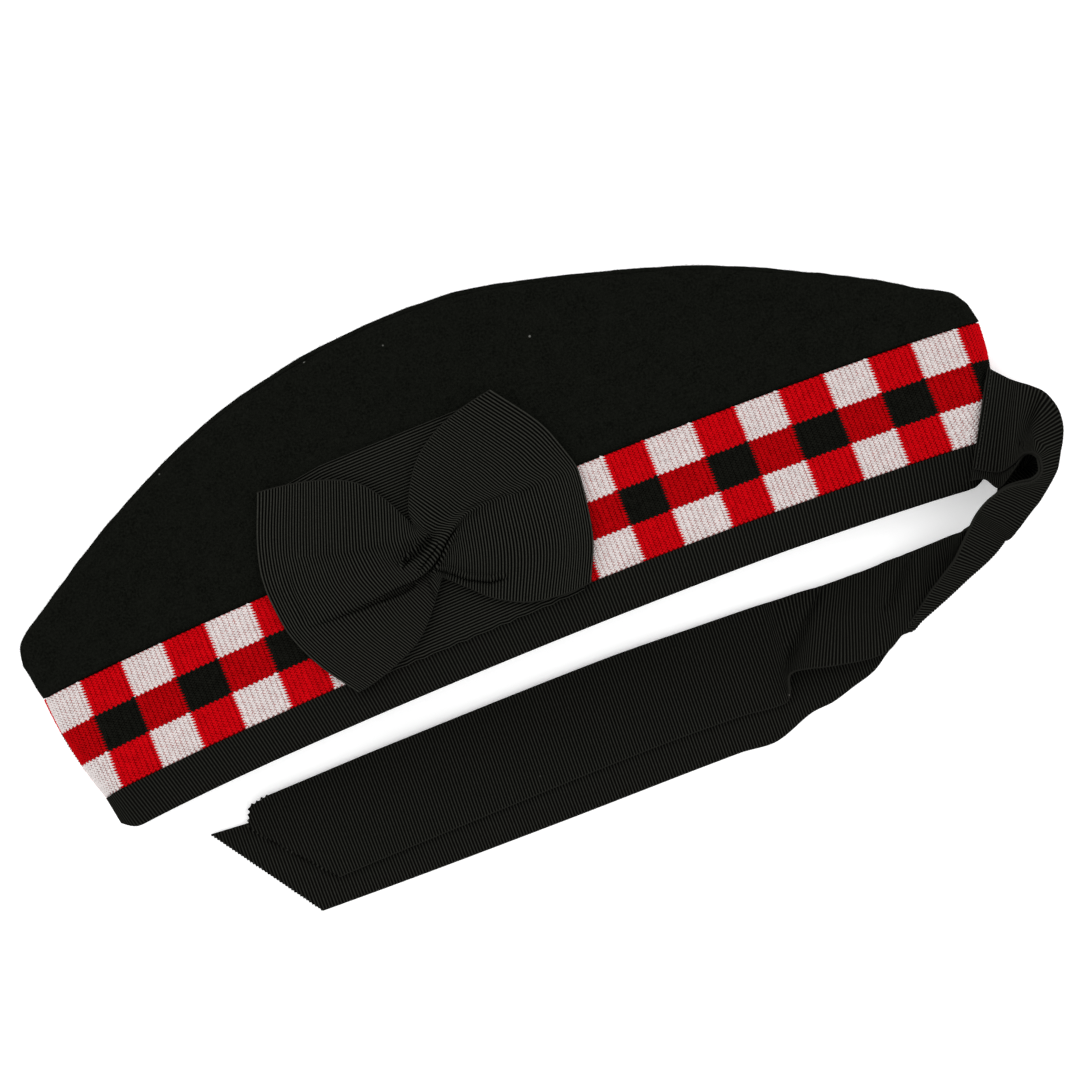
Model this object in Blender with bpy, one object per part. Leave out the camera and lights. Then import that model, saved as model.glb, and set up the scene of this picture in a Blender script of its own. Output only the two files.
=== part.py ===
# A glengarry cap that lies on its right side: a felt crown with a folded-in top, a knitted diced
# band, a ribbon binding round the brim, a bow on a flat ribbon base and two ribbon tails.
# +X runs to the back of the cap, +Y to the ridge of its crown, +Z up to its left side.
import math
from collections import namedtuple

import bmesh
import bpy
import numpy as np

# Cloth and the small air gap between two layers of it, in metres
FELT_WALL = 0.0020
KNIT_WALL = 0.0016
BINDING_WALL = 0.0012
RIBBON_WALL = 0.0010
CLOTH_GAP = 0.0003

# The cap laid flat: lengths along X, heights along Y
BAND_LENGTH = 0.3125
BAND_HEIGHT = 0.0353
BINDING_HEIGHT = 0.0128
CROWN_LENGTH = 0.3129
CROWN_RISE = 0.0706
FRONT_OVERHANG = 0.0019
FRONT_FOLD_LEAN = 0.0065
BACK_FOLD_LEAN = 0.0100
BINDING_FRONT_LEAN = 0.0015
BINDING_BACK_LEAN = 0.0055
BRIM_CORNER_ROUND = 0.0055
FRONT_FOLD_BOW = 0.0013
BACK_FOLD_BOW = 0.0023
BAND_TOP_ARCH = 0.0055
BAND_FOOT_ARCH = 0.0058
BRIM_ARCH = 0.0064
CORNER_FULLNESS = 0.60

# The cap's thickness as it lies, along Z
END_FOLD_HEIGHT = 0.0140
BRIM_OPENING_HEIGHT = 0.0340
RIDGE_HEIGHT = 0.0160

# The top of the crown, folded in between the two sides
TOP_FOLD_DEPTH = 0.0350
RIDGE_ROUND = 0.0026
RIDGE_STEP = 0.0026
RIDGE_END_TAPER = 1.4
HOLLOW_NEEDS_WALLS = 3
FELT_STEP_LENGTH = 0.0020
BINDING_INSIDE_HEIGHT = 0.0115

# The bow and its base
BASE_WIDTH = 0.0770
BASE_HEIGHT = 0.0680
BASE_FROM_FRONT = 0.0935
BASE_ABOVE_BINDING = 0.0025
BOW_SPAN = 0.1037
BOW_HEIGHT = 0.0708
BOW_ASIDE_OF_BASE = 0.0015
BOW_ABOVE_BASE_MIDDLE = -0.0015
BOW_PUFF = 0.0040
BOW_END_TUCK = 0.0005
BOW_ABOVE_BASE = 0.0004

# The tails
TAIL_WIDTH = 0.0320
FOLD_ROUND = 0.0013

# How finely the cloth is divided
TURNS = 60
BASE_CELLS = 7
BOW_ACROSS = 9
BOW_STEP = 0.0052
TAIL_STEP = 0.0046
MOST_PARTS = 3
MERGE = 1e-6

SEAT_LAYER = RIBBON_WALL + CLOTH_GAP

# Height of the crown's ridge along the cap, as shares of CROWN_LENGTH and CROWN_RISE
RidgePoint = namedtuple("RidgePoint", "along rise")
RIDGE = [
    RidgePoint(0.000, 0.170),
    RidgePoint(0.004, 0.250),
    RidgePoint(0.014, 0.300),
    RidgePoint(0.030, 0.345),
    RidgePoint(0.070, 0.455),
    RidgePoint(0.135, 0.622),
    RidgePoint(0.210, 0.777),
    RidgePoint(0.300, 0.915),
    RidgePoint(0.390, 0.985),
    RidgePoint(0.455, 1.000),
    RidgePoint(0.520, 0.987),
    RidgePoint(0.615, 0.905),
    RidgePoint(0.770, 0.686),
    RidgePoint(0.905, 0.392),
    RidgePoint(0.965, 0.225),
    RidgePoint(0.990, 0.162),
    RidgePoint(1.000, 0.095),
]

# Levels of the cap's side: 0 the brim's edge, 1 the band's foot, 2 the band's top, 3 the ridge,
# with the share of the way up that each has
LEVEL_SHARES = [0.0, 0.11, 0.42, 1.0]
BRIM_LEVEL, FOOT_LEVEL, TOP_LEVEL, RIDGE_LEVEL = range(4)

# Rings of the felt from its lower edge over the ridge and down into the folded top.
# below counts RIDGE_ROUND under the ridge, folded is the share of TOP_FOLD_DEPTH, and lift is
# the share of the way from the outer face to the middle of the cap's thickness.
FeltRing = namedtuple("FeltRing", "level below folded lift")
LEG_LIFT = 0.75
FELT_CROWN_RINGS = [
    FeltRing(2.22, 0, 0.0, 0.0),
    FeltRing(2.42, 0, 0.0, 0.0),
    FeltRing(2.62, 0, 0.0, 0.0),
    FeltRing(2.80, 0, 0.0, 0.0),
    FeltRing(2.92, 0, 0.0, 0.0),
    FeltRing(3.0, 1.0, 0.0, 0.0),
    FeltRing(3.0, 0.3, 0.0, 0.12),
    FeltRing(3.0, 0.0, 0.0, 0.38),
    FeltRing(3.0, 0.3, 0.0, 0.62),
    FeltRing(3.0, 1.0, 0.0, LEG_LIFT),
    FeltRing(3.0, 1.0, 0.35, 0.82),
    FeltRing(3.0, 0.7, 0.70, 0.89),
    FeltRing(3.0, 0.0, 0.94, 0.93),
    FeltRing(3.0, 0.0, 1.0, 1.0),
]

# Ribs of the bow's two wings, from the gathered middle out to the folded ends, as shares of half
# the bow's span and half its height. bulge is how far a rib bows outwards, and puff the share
# of BOW_PUFF that the upper layer stands up.
BowRib = namedtuple("BowRib", "top_x top_y foot_x foot_y bulge puff")
BOW_MIDDLE = BowRib(-0.054, 0.26, -0.004, -0.25, 0.00, 0.70)
FRONT_WING = [
    BowRib(-0.13, 0.50, -0.10, -0.50, 0.00, 0.95),
    BowRib(-0.23, 0.70, -0.21, -0.69, 0.06, 1.00),
    BowRib(-0.44, 0.89, -0.40, -0.85, 0.14, 0.80),
    BowRib(-0.65, 0.96, -0.58, -0.92, 0.20, 0.45),
    BowRib(-0.81, 0.98, -0.70, -0.94, 0.245, 0.00),
]
BACK_WING = [
    BowRib(0.03, 0.53, 0.09, -0.48, 0.00, 0.95),
    BowRib(0.15, 0.76, 0.26, -0.70, 0.06, 1.00),
    BowRib(0.31, 0.90, 0.44, -0.80, 0.13, 0.80),
    BowRib(0.49, 0.99, 0.61, -0.84, 0.19, 0.45),
    BowRib(0.69, 1.05, 0.79, -0.88, 0.255, 0.00),
]

# Ribs of the tails, from the cap's back corner, as shares of TAIL_WIDTH: x, y and height of the
# inner end, then of the outer end. The near tail leaves the cap, stands up in a tight turn and
# leans over the far one.
TailRib = namedtuple("TailRib", "inner_x inner_y inner_up outer_x outer_y outer_up")
NEAR_STANDING = [
    TailRib(0.10, 0.07, 0.50, 0.56, 0.88, 0.40),
    TailRib(0.21, 0.07, 0.60, 0.74, 0.73, 0.22),
    TailRib(0.33, 0.12, 0.70, 0.86, 0.58, 0.08),
    TailRib(0.42, 0.17, 0.82, 0.88, 0.43, 0.02),
    TailRib(0.50, 0.14, 0.91, 0.82, 0.24, 0.02),
    TailRib(0.54, 0.03, 0.94, 0.74, 0.05, 0.02),
    TailRib(0.49, -0.09, 0.94, 0.60, -0.12, 0.02),
    TailRib(0.40, -0.13, 0.93, 0.45, -0.24, 0.02),
    TailRib(0.22, -0.08, 0.91, 0.30, -0.39, 0.02),
    TailRib(0.03, -0.10, 0.89, 0.10, -0.48, 0.02),
    TailRib(-0.11, -0.14, 0.88, -0.07, -0.55, 0.02),
    TailRib(-0.31, -0.28, 0.88, -0.26, -0.63, 0.02),
]
ROOT_INNER = (-0.11, 0.21)
ROOT_OUTER = (0.36, 1.01)

# Where the near tail is folded under itself along a slanting crease
FoldedRib = namedtuple("FoldedRib", "inner_x inner_y inner_up crease_x crease_y outer_x outer_y")
NEAR_FOLDED = [
    FoldedRib(-0.46, -0.41, 0.76, -0.39, -0.68, -0.50, -0.53),
    FoldedRib(-0.61, -0.55, 0.60, -0.59, -0.75, -0.70, -0.42),
    FoldedRib(-0.75, -0.66, 0.45, -0.79, -0.84, -0.91, -0.38),
    FoldedRib(-0.88, -0.72, 0.33, -0.97, -0.91, -1.05, -0.39),
    FoldedRib(-1.06, -0.85, 0.20, -1.15, -0.99, -1.15, -0.39),
    FoldedRib(-1.235, -0.955, 0.155, -1.262, -0.965, -1.20, -0.39),
]
NEAR_LYING = [
    TailRib(-1.41, -1.06, 0.0, -1.25, -0.39, 0.0),
    TailRib(-1.54, -1.13, 0.0, -1.31, -0.40, 0.0),
    TailRib(-1.72, -1.25, 0.0, -1.40, -0.41, 0.0),
    TailRib(-1.97, -1.32, 0.0, -1.62, -0.44, 0.0),
    TailRib(-2.20, -1.39, 0.0, -1.86, -0.45, 0.0),
    TailRib(-2.43, -1.40, 0.0, -2.14, -0.45, 0.0),
    TailRib(-2.85, -1.53, 0.0, -2.67, -0.52, 0.0),
    TailRib(-3.22, -1.50, 0.0, -3.19, -0.51, 0.0),
    TailRib(-5.09, -1.47, 0.0, -5.09, -0.47, 0.0),
    TailRib(-6.80, -1.43, 0.0, -6.80, -0.43, 0.0),
    TailRib(-7.54, -1.40, 0.0, -8.27, -0.31, 0.0),
]

# The far tail comes out from under the near one, rises into a soft pleat and lies on top of it
FAR_LYING = [
    TailRib(-0.42, -0.31, 0.63, -0.55, -0.64, 0.08),
    TailRib(-0.53, -0.31, 0.41, -1.08, -0.83, 0.00),
    TailRib(-0.70, -0.30, 0.22, -1.31, -0.935, 0.07),
    TailRib(-0.90, -0.31, 0.12, -1.47, -1.05, 0.05),
    TailRib(-1.06, -0.32, 0.08, -1.62, -1.14, 0.05),
    TailRib(-1.23, -0.32, 0.05, -1.79, -1.12, 0.10),
    TailRib(-1.49, -0.32, 0.04, -1.98, -1.07, 0.16),
    TailRib(-1.70, -0.32, 0.04, -2.24, -1.02, 0.21),
    TailRib(-1.84, -0.31, 0.04, -2.50, -0.96, 0.20),
    TailRib(-2.08, -0.29, 0.00, -2.60, -1.19, 0.02),
    TailRib(-3.12, -0.20, 0.00, -3.39, -1.18, 0.00),
    TailRib(-4.14, -0.16, 0.00, -4.21, -1.14, 0.00),
    TailRib(-6.45, -0.15, 0.00, -6.46, -1.15, 0.00),
    TailRib(-7.20, -0.14, 0.00, -7.10, -1.16, 0.00),
    TailRib(-7.88, -0.20, 0.00, -7.25, -1.18, 0.00),
]
FAR_INSIDE_NEAR = 0.0019
FAR_HIDDEN_SHARE = 0.82
FAR_LIFTED_SHARE = 0.12
FAR_SLIP = 0.09
CREASE_START = 0.80
CREASE_END = 0.22

FELT_COLOUR = (0.0058, 0.0063, 0.0050)
KNIT_COLOUR = (0.42, 0.10, 0.10)
RIBBON_COLOUR = (0.0088, 0.0090, 0.0077)


def clear_scene():
    for item in list(bpy.data.objects):
        bpy.data.objects.remove(item, do_unlink=True)


def cloth_material(name, colour, roughness):
    material = bpy.data.materials.new(name)
    material.use_nodes = True
    shader = material.node_tree.nodes["Principled BSDF"]
    shader.inputs["Base Color"].default_value = (*colour, 1.0)
    shader.inputs["Roughness"].default_value = roughness
    shader.inputs["Metallic"].default_value = 0.0
    return material


def smooth_value(points, share):
    # Cubic through the points without overshoot
    along = [p[0] for p in points]
    value = [p[1] for p in points]
    share = min(max(share, along[0]), along[-1])
    i = min(max(int(np.searchsorted(along, share)) - 1, 0), len(along) - 2)

    def chord(k):
        return (value[k + 1] - value[k]) / (along[k + 1] - along[k])

    def slope(k):
        if k in (0, len(along) - 1):
            return chord(min(k, len(along) - 2))
        before, after = chord(k - 1), chord(k)
        return 0.0 if before * after <= 0 else 2 * before * after / (before + after)

    step = along[i + 1] - along[i]
    t = (share - along[i]) / step
    return (
        (2 * t**3 - 3 * t**2 + 1) * value[i]
        + (t**3 - 2 * t**2 + t) * step * slope(i)
        + (3 * t**2 - 2 * t**3) * value[i + 1]
        + (t**3 - t**2) * step * slope(i + 1)
    )


def hump(share, power):
    return max(0.0, math.sin(math.pi * share)) ** power


def level_line(level, share):
    # A point of the flat outline at one of the four named levels, with x counted from the
    # front tip of the crown and y from the front end of the band's foot
    band_front = FRONT_OVERHANG
    band_back = band_front + BAND_LENGTH
    foot_front = band_front + FRONT_FOLD_LEAN
    foot_back = band_back - BACK_FOLD_LEAN
    if level == BRIM_LEVEL:
        front = foot_front + BINDING_FRONT_LEAN
        back = foot_back - BINDING_BACK_LEAN
        from_corner = min(share, 1 - share) * (back - front)
        left = 1 - min(from_corner / BRIM_CORNER_ROUND, 1.0)
        rise = BRIM_ARCH * hump(share, 0.7) + BRIM_CORNER_ROUND * CORNER_FULLNESS * left**2
        return np.array([front + (back - front) * share, rise - BINDING_HEIGHT])
    if level == FOOT_LEVEL:
        across = foot_front + (foot_back - foot_front) * share
        return np.array([across, BAND_FOOT_ARCH * hump(share, 0.7)])
    if level == TOP_LEVEL:
        across = band_front + BAND_LENGTH * share
        return np.array([across, BAND_HEIGHT + BAND_TOP_ARCH * hump(share, 0.7)])
    rise = smooth_value(RIDGE, share)
    return np.array([CROWN_LENGTH * share, BAND_HEIGHT + CROWN_RISE * rise])


def outline(level, share):
    lower = min(max(int(math.floor(level)), BRIM_LEVEL), TOP_LEVEL)
    part = level - lower
    point = level_line(lower, share) * (1 - part) + level_line(lower + 1, share) * part
    if lower == FOOT_LEVEL:
        bow = 4 * part * (1 - part)
        point[0] += bow * (BACK_FOLD_BOW * share**2 - FRONT_FOLD_BOW * (1 - share) ** 2)
    return point


def side_height(level, share):
    up = float(np.interp(level, range(4), LEVEL_SHARES))
    middle = RIDGE_HEIGHT + (BRIM_OPENING_HEIGHT - RIDGE_HEIGHT) * (1 - up) ** 1.15
    return END_FOLD_HEIGHT + (middle - END_FOLD_HEIGHT) * hump(share, 1.2)


def turn_share(turn):
    return (1 - math.cos(turn)) / 2


def roundness(level, share):
    # 0 on the front and back folds, 1 where the two sides run flat
    x = outline(level, share)[0]
    from_fold = min(x - outline(level, 0.0)[0], outline(level, 1.0)[0] - x)
    reach = min(max(from_fold, 0.0) / (END_FOLD_HEIGHT / 2), 1.0)
    return math.sqrt(1 - (1 - reach) ** 2)


def skin_point(turn, level):
    # The outermost face of the cap, which lies flat on the ground below
    share = turn_share(turn)
    x, y = outline(level, share)
    half = side_height(level, share) / 2
    side = 1.0 if math.sin(turn) >= 0 else -1.0
    return np.array([x, y, half * (1 + side * roundness(level, share))])


def inset_point(turn, level, inset):
    # A point that lies the inset under the outermost face
    d_turn, d_level = 1e-4, 1e-3
    round_cap = skin_point(turn + d_turn, level) - skin_point(turn - d_turn, level)
    up_cap = skin_point(turn, level + d_level) - skin_point(turn, level - d_level)
    inward = np.cross(up_cap, round_cap)
    return skin_point(turn, level) + inset * inward / np.linalg.norm(inward)


def top_height(x, y):
    # Height of the upper side at a place, found by stepping to its level and share
    level, share = 1.5, 0.5
    for _ in range(12):
        front, back = outline(level, 0.0)[0], outline(level, 1.0)[0]
        share = min(max((x - front) / (back - front), 0.0), 1.0)
        lines = [outline(k, share)[1] for k in range(4)]
        level = float(np.interp(y, lines, range(4)))
    half = side_height(level, share) / 2
    return half * (1 + roundness(level, share))


def mesh_object(name, points, faces, material):
    mesh = bpy.data.meshes.new(name)
    build = bmesh.new()
    corners = [build.verts.new(p) for p in points]
    for face in faces:
        build.faces.new([corners[i] for i in face])
    bmesh.ops.remove_doubles(build, verts=build.verts, dist=MERGE)
    bmesh.ops.dissolve_degenerate(build, edges=build.edges, dist=MERGE)
    bmesh.ops.recalc_face_normals(build, faces=build.faces)
    build.to_mesh(mesh)
    build.free()
    mesh.shade_smooth()
    mesh.set_sharp_from_angle(angle=math.radians(50))
    mesh.materials.append(material)
    made = bpy.data.objects.new(name, mesh)
    bpy.context.scene.collection.objects.link(made)
    return made


def grid_faces(rings, per_ring, closed_rings, closed_turns):
    faces = []
    for r in range(rings if closed_rings else rings - 1):
        for k in range(per_ring if closed_turns else per_ring - 1):
            next_r, next_k = (r + 1) % rings, (k + 1) % per_ring
            faces.append([
                r * per_ring + k,
                r * per_ring + next_k,
                next_r * per_ring + next_k,
                next_r * per_ring + k,
            ])
    return faces


def level_below(level, distance):
    # The level that lies a distance under a named one, or above it for a negative distance
    height = BINDING_HEIGHT if level < FOOT_LEVEL or (level == FOOT_LEVEL and distance > 0) else BAND_HEIGHT
    return level - distance / height


def swept_loop(name, profile, material):
    # A closed profile of (level, inset) pairs carried once round the cap
    points = []
    for level, inset in profile:
        for k in range(TURNS):
            points.append(inset_point(2 * math.pi * k / TURNS, level, inset))
    return mesh_object(name, points, grid_faces(len(profile), TURNS, True, True), material)


def toward_middle(level, share):
    # 1 on the front fold and -1 on the back one, falling to 0 where the sides run flat
    x = outline(level, share)[0]
    from_front, from_back = x - outline(level, 0.0)[0], outline(level, 1.0)[0] - x
    near = 1 - min(min(from_front, from_back) / (END_FOLD_HEIGHT / 2), 1.0)
    return near if from_front < from_back else -near


def ridge_point(turn, level, depth, height):
    # A point a depth under the ridge, its height a distance from the middle of the thickness
    share = turn_share(turn)
    ridge, under = outline(RIDGE_LEVEL, share), outline(TOP_LEVEL, share)
    down = (under - ridge) / np.linalg.norm(under - ridge)
    x, y = ridge + down * depth
    side = 1.0 if math.sin(turn) > 0 else -1.0
    return np.array([x, y, side_height(level, share) / 2 + side * height])


def fold_depth(share):
    return TOP_FOLD_DEPTH * hump(share, 0.6)


def ridge_taper(share):
    return min(1.0, RIDGE_END_TAPER * hump(share, 0.5))


def upper_step(turn, taper, lift):
    # The upper side stops short of the lower one along the ridge
    return RIDGE_STEP * taper * (1 - lift) if math.sin(turn) > 0 else 0.0


def crown_depth(share, level, top):
    # Depth under the ridge of a level of the crown whose uppermost ring lies at the depth top
    rise = np.linalg.norm(outline(TOP_LEVEL, share) - outline(RIDGE_LEVEL, share))
    up = level - TOP_LEVEL
    return rise * (1 - up) + top * up


def felt_outer_ring(turn, ring):
    share = turn_share(turn)
    taper = ridge_taper(share)
    if ring.level < RIDGE_LEVEL:
        top = RIDGE_ROUND * taper + upper_step(turn, taper, 0.0)
        half = side_height(ring.level, share) / 2 * roundness(ring.level, share)
        return ridge_point(turn, ring.level, crown_depth(share, ring.level, top), half)
    depth = ring.below * RIDGE_ROUND * taper + ring.folded * fold_depth(share)
    depth += upper_step(turn, taper, ring.lift)
    half = side_height(RIDGE_LEVEL, share) / 2 * roundness(RIDGE_LEVEL, share)
    return ridge_point(turn, RIDGE_LEVEL, depth, half * (1 - ring.lift))


def felt_inner_ring(turn, ring, part):
    # One felt wall inside the outer ring. Where the folded top is too shallow for a hollow
    # beside it, near its two ends, the rings close straight under it.
    share = turn_share(turn)
    round_here = roundness(RIDGE_LEVEL, share)
    wall = FELT_WALL * round_here
    hollow = fold_depth(share) > HOLLOW_NEEDS_WALLS * FELT_WALL
    taper = ridge_taper(share)
    ceiling = RIDGE_ROUND if hollow else fold_depth(share) + FELT_WALL
    if ring.level < RIDGE_LEVEL:
        depth = crown_depth(share, ring.level, ceiling + upper_step(turn, taper, 0.0))
        half = side_height(ring.level, share) / 2 * round_here
        point = ridge_point(turn, ring.level, depth, half - wall)
    else:
        half = side_height(RIDGE_LEVEL, share) / 2 * round_here
        if not hollow:
            height = (half - wall) * (1 - part)
            depth = ceiling + upper_step(turn, taper, part)
        elif ring.lift == 1.0:
            height, depth = 0.0, fold_depth(share) + FELT_WALL
        elif ring.folded > 0:
            height = half * (1 - ring.lift) + wall
            depth = ring.below * RIDGE_ROUND + ring.folded * fold_depth(share)
            depth += upper_step(turn, taper, ring.lift)
        else:
            across = min(ring.lift / LEG_LIFT, 1.0)
            height = (half - wall) * (1 - across) + (half * (1 - LEG_LIFT) + wall) * across
            depth = FELT_WALL + ring.below * (RIDGE_ROUND - FELT_WALL)
            depth += upper_step(turn, taper, ring.lift)
        point = ridge_point(turn, RIDGE_LEVEL, depth, height)
    point[0] += FELT_WALL * toward_middle(RIDGE_LEVEL, share)
    return point


def felt_crown(material):
    binding_inset = BINDING_WALL + CLOTH_GAP
    band_inset = KNIT_WALL + CLOTH_GAP
    under_trim = [
        (level_below(BRIM_LEVEL, -binding_inset - CLOTH_GAP), binding_inset),
        (level_below(FOOT_LEVEL, 3 * CLOTH_GAP / 2), binding_inset),
        (level_below(FOOT_LEVEL, CLOTH_GAP / 2), band_inset),
        (1.5, band_inset),
        (TOP_LEVEL, band_inset),
    ]
    step_level = TOP_LEVEL + FELT_STEP_LENGTH / (CROWN_RISE - BAND_TOP_ARCH)
    rings = [FeltRing(step_level, 0, 0.0, 0.0)] + FELT_CROWN_RINGS
    first_ridge = [ring.level for ring in rings].index(RIDGE_LEVEL)
    outer, inner = [], []
    for k in range(TURNS):
        turn = 2 * math.pi * k / TURNS
        outer.append([inset_point(turn, level, inset) for level, inset in under_trim])
        outer[-1] += [felt_outer_ring(turn, ring) for ring in rings]
        inner.append([inset_point(turn, level, inset + FELT_WALL) for level, inset in under_trim])
        for i, ring in enumerate(rings):
            part = max(0, i - first_ridge) / (len(rings) - 1 - first_ridge)
            inner[-1].append(felt_inner_ring(turn, ring, part))
    count = len(under_trim) + len(rings)
    points = [outer[k][i] for i in range(count) for k in range(TURNS)]
    points += [inner[k][i] for i in range(count) for k in range(TURNS)]
    faces = grid_faces(count, TURNS, False, True)
    size = count * TURNS
    faces += [[i + size for i in reversed(face)] for face in grid_faces(count, TURNS, False, True)]
    for k in range(TURNS):
        after = (k + 1) % TURNS
        faces.append([after, k, k + size, after + size])
    return mesh_object("felt_crown", points, faces, material)


def diced_band(material):
    foot = level_below(FOOT_LEVEL, -CLOTH_GAP / 2)
    top = level_below(TOP_LEVEL, CLOTH_GAP)
    profile = [(foot, 0.0), (1.5, 0.0), (top, 0.0), (top, KNIT_WALL), (1.5, KNIT_WALL), (foot, KNIT_WALL)]
    return swept_loop("diced_band", profile, material)


def brim_binding(material):
    wall, gap = BINDING_WALL, CLOTH_GAP
    top = level_below(FOOT_LEVEL, gap / 2)
    inner_face = wall + gap + FELT_WALL + gap
    inside_top = level_below(BRIM_LEVEL, -BINDING_INSIDE_HEIGHT)
    bottom_corner = level_below(BRIM_LEVEL, -wall / 2)
    trough = level_below(BRIM_LEVEL, -wall)
    profile = [
        (top, 0.0),
        (bottom_corner, 0.0),
        (BRIM_LEVEL, wall / 2),
        (BRIM_LEVEL, inner_face + wall / 2),
        (bottom_corner, inner_face + wall),
        (inside_top, inner_face + wall),
        (inside_top, inner_face),
        (trough, inner_face),
        (trough, wall),
        (top, wall),
    ]
    return swept_loop("brim_binding", profile, material)


def base_corner():
    foot = outline(FOOT_LEVEL, 0.5)[1] - BAND_FOOT_ARCH
    return np.array([BASE_FROM_FRONT, foot + BASE_ABOVE_BINDING])


def rosette_base(material):
    corner = base_corner()
    points = []
    for layer in range(2):
        for j in range(BASE_CELLS + 1):
            for i in range(BASE_CELLS + 1):
                x = corner[0] + BASE_WIDTH * i / BASE_CELLS
                y = corner[1] + BASE_HEIGHT * j / BASE_CELLS
                z = top_height(x, y) + CLOTH_GAP + RIBBON_WALL * layer
                points.append((x, y, z))
    side = BASE_CELLS + 1
    bottom = grid_faces(side, side, False, False)
    top = [[i + side * side for i in reversed(face)] for face in bottom]
    rim = [j for j in range(side)]
    rim += [side * j + side - 1 for j in range(1, side)]
    rim += [side * (side - 1) + j for j in reversed(range(side - 1))]
    rim += [side * j for j in reversed(range(1, side - 1))]
    walls = []
    for a, b in zip(rim, rim[1:] + rim[:1]):
        walls.append([a, a + side * side, b + side * side, b])
    return mesh_object("rosette_base", points, bottom + top + walls, material)


def smooth_run(rows, step, closed=False):
    # More rows between the given ones, along a smooth run through them, about a step apart
    rows = np.array(rows, float)
    if closed:
        rows = np.concatenate([rows[-1:], rows, rows[:2]])
    lengths = np.linalg.norm(np.diff(rows, axis=0), axis=2).mean(axis=1)
    knots = np.concatenate([[0.0], np.cumsum(lengths)])
    slopes = np.empty_like(rows)
    slopes[0] = (rows[1] - rows[0]) / lengths[0]
    slopes[-1] = (rows[-1] - rows[-2]) / lengths[-1]
    slopes[1:-1] = (rows[2:] - rows[:-2]) / (knots[2:] - knots[:-2])[:, None, None]
    # Cloth that stops rising or falling runs on level, with no dip through what it lies on
    rises = np.diff(rows[:, :, 2], axis=0) / lengths[:, None]
    steepest = 3 * np.minimum(abs(rises[:-1]), abs(rises[1:])) * (rises[:-1] * rises[1:] > 0)
    slopes[1:-1, :, 2] = np.clip(slopes[1:-1, :, 2], -steepest, steepest)
    made = []
    spans = range(1, len(lengths) - 1) if closed else range(len(lengths))
    for i in spans:
        parts = min(MOST_PARTS, math.ceil(lengths[i] / step))
        for part in range(parts):
            t = part / parts
            made.append(
                (2 * t**3 - 3 * t**2 + 1) * rows[i]
                + (t**3 - 2 * t**2 + t) * lengths[i] * slopes[i]
                + (3 * t**2 - 2 * t**3) * rows[i + 1]
                + (t**3 - t**2) * lengths[i] * slopes[i + 1]
            )
    if not closed:
        made.append(rows[-1])
    return np.array(made)


def cloth_normals(grid, closed):
    along = np.gradient(grid, axis=0)
    if closed:
        along = np.roll(grid, -1, axis=0) - np.roll(grid, 1, axis=0)
    across = np.gradient(grid, axis=1)
    normal = np.cross(along, across)
    return normal / np.linalg.norm(normal, axis=2, keepdims=True)


def ribbon_object(name, grid, material, closed=False):
    # A sheet with the ribbon's wall, half of it to each side of the grid
    rows, columns = grid.shape[:2]
    half = cloth_normals(grid, closed) * RIBBON_WALL / 2
    points = np.concatenate([(grid + half).reshape(-1, 3), (grid - half).reshape(-1, 3)])
    size = rows * columns
    upper = grid_faces(rows, columns, closed, False)
    lower = [[i + size for i in reversed(face)] for face in upper]
    walls = []
    for r in range(rows if closed else rows - 1):
        here, there = r * columns, ((r + 1) % rows) * columns
        walls.append([here, there, there + size, here + size])
        here, there = here + columns - 1, there + columns - 1
        walls.append([there, here, here + size, there + size])
    if not closed:
        for k in range(columns - 1):
            walls.append([k + 1, k, k + size, k + 1 + size])
            k += (rows - 1) * columns
            walls.append([k, k + 1, k + 1 + size, k + size])
    return mesh_object(name, [tuple(p) for p in points], upper + lower + walls, material)


def bow_rib_points(rib, centre, layer_height, inward):
    points = []
    half_span, half_height = BOW_SPAN / 2, BOW_HEIGHT / 2
    for k in range(BOW_ACROSS):
        w = k / (BOW_ACROSS - 1)
        x = rib.top_x * (1 - w) + rib.foot_x * w
        y = rib.top_y * (1 - w) + rib.foot_y * w
        outward = math.copysign(1.0, rib.top_x + rib.foot_x)
        x += outward * rib.bulge * 4 * w * (1 - w)
        x, y = centre[0] + x * half_span * inward, centre[1] + y * half_height * inward
        base_top = top_height(x, y) + CLOTH_GAP + RIBBON_WALL
        points.append((x, y, base_top + BOW_ABOVE_BASE + RIBBON_WALL / 2 + layer_height))
    return points


def rosette_bow(material):
    # One wide ribbon, sewn into a flat ring and gathered in its middle
    centre = base_corner() + np.array([BASE_WIDTH / 2, BASE_HEIGHT / 2])
    centre += np.array([-BOW_ASIDE_OF_BASE, BOW_ABOVE_BASE_MIDDLE])
    upper = list(reversed(FRONT_WING)) + [BOW_MIDDLE] + BACK_WING
    tucked = 1 - BOW_END_TUCK / (BOW_SPAN / 2)
    rows = []
    for rib in upper:
        height = SEAT_LAYER + BOW_PUFF * rib.puff
        if rib in (upper[0], upper[-1]):
            height = SEAT_LAYER / 2
        rows.append(bow_rib_points(rib, centre, height, 1.0))
        if rib == upper[0]:
            rows.append(bow_rib_points(rib, centre, SEAT_LAYER, tucked))
        if rib == upper[-2]:
            rows.append(bow_rib_points(upper[-1], centre, SEAT_LAYER, tucked))
    rows.append(bow_rib_points(upper[-1], centre, 0.0, tucked))
    for rib in reversed(upper[1:-1]):
        rows.append(bow_rib_points(rib, centre, 0.0, tucked))
    rows.append(bow_rib_points(upper[0], centre, 0.0, tucked))
    grid = smooth_run(rows, BOW_STEP, closed=True)
    return ribbon_object("rosette_bow", grid, material, closed=True)


def tail_corner():
    return np.array([outline(BRIM_LEVEL, 1.0)[0], -BINDING_HEIGHT])


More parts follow.
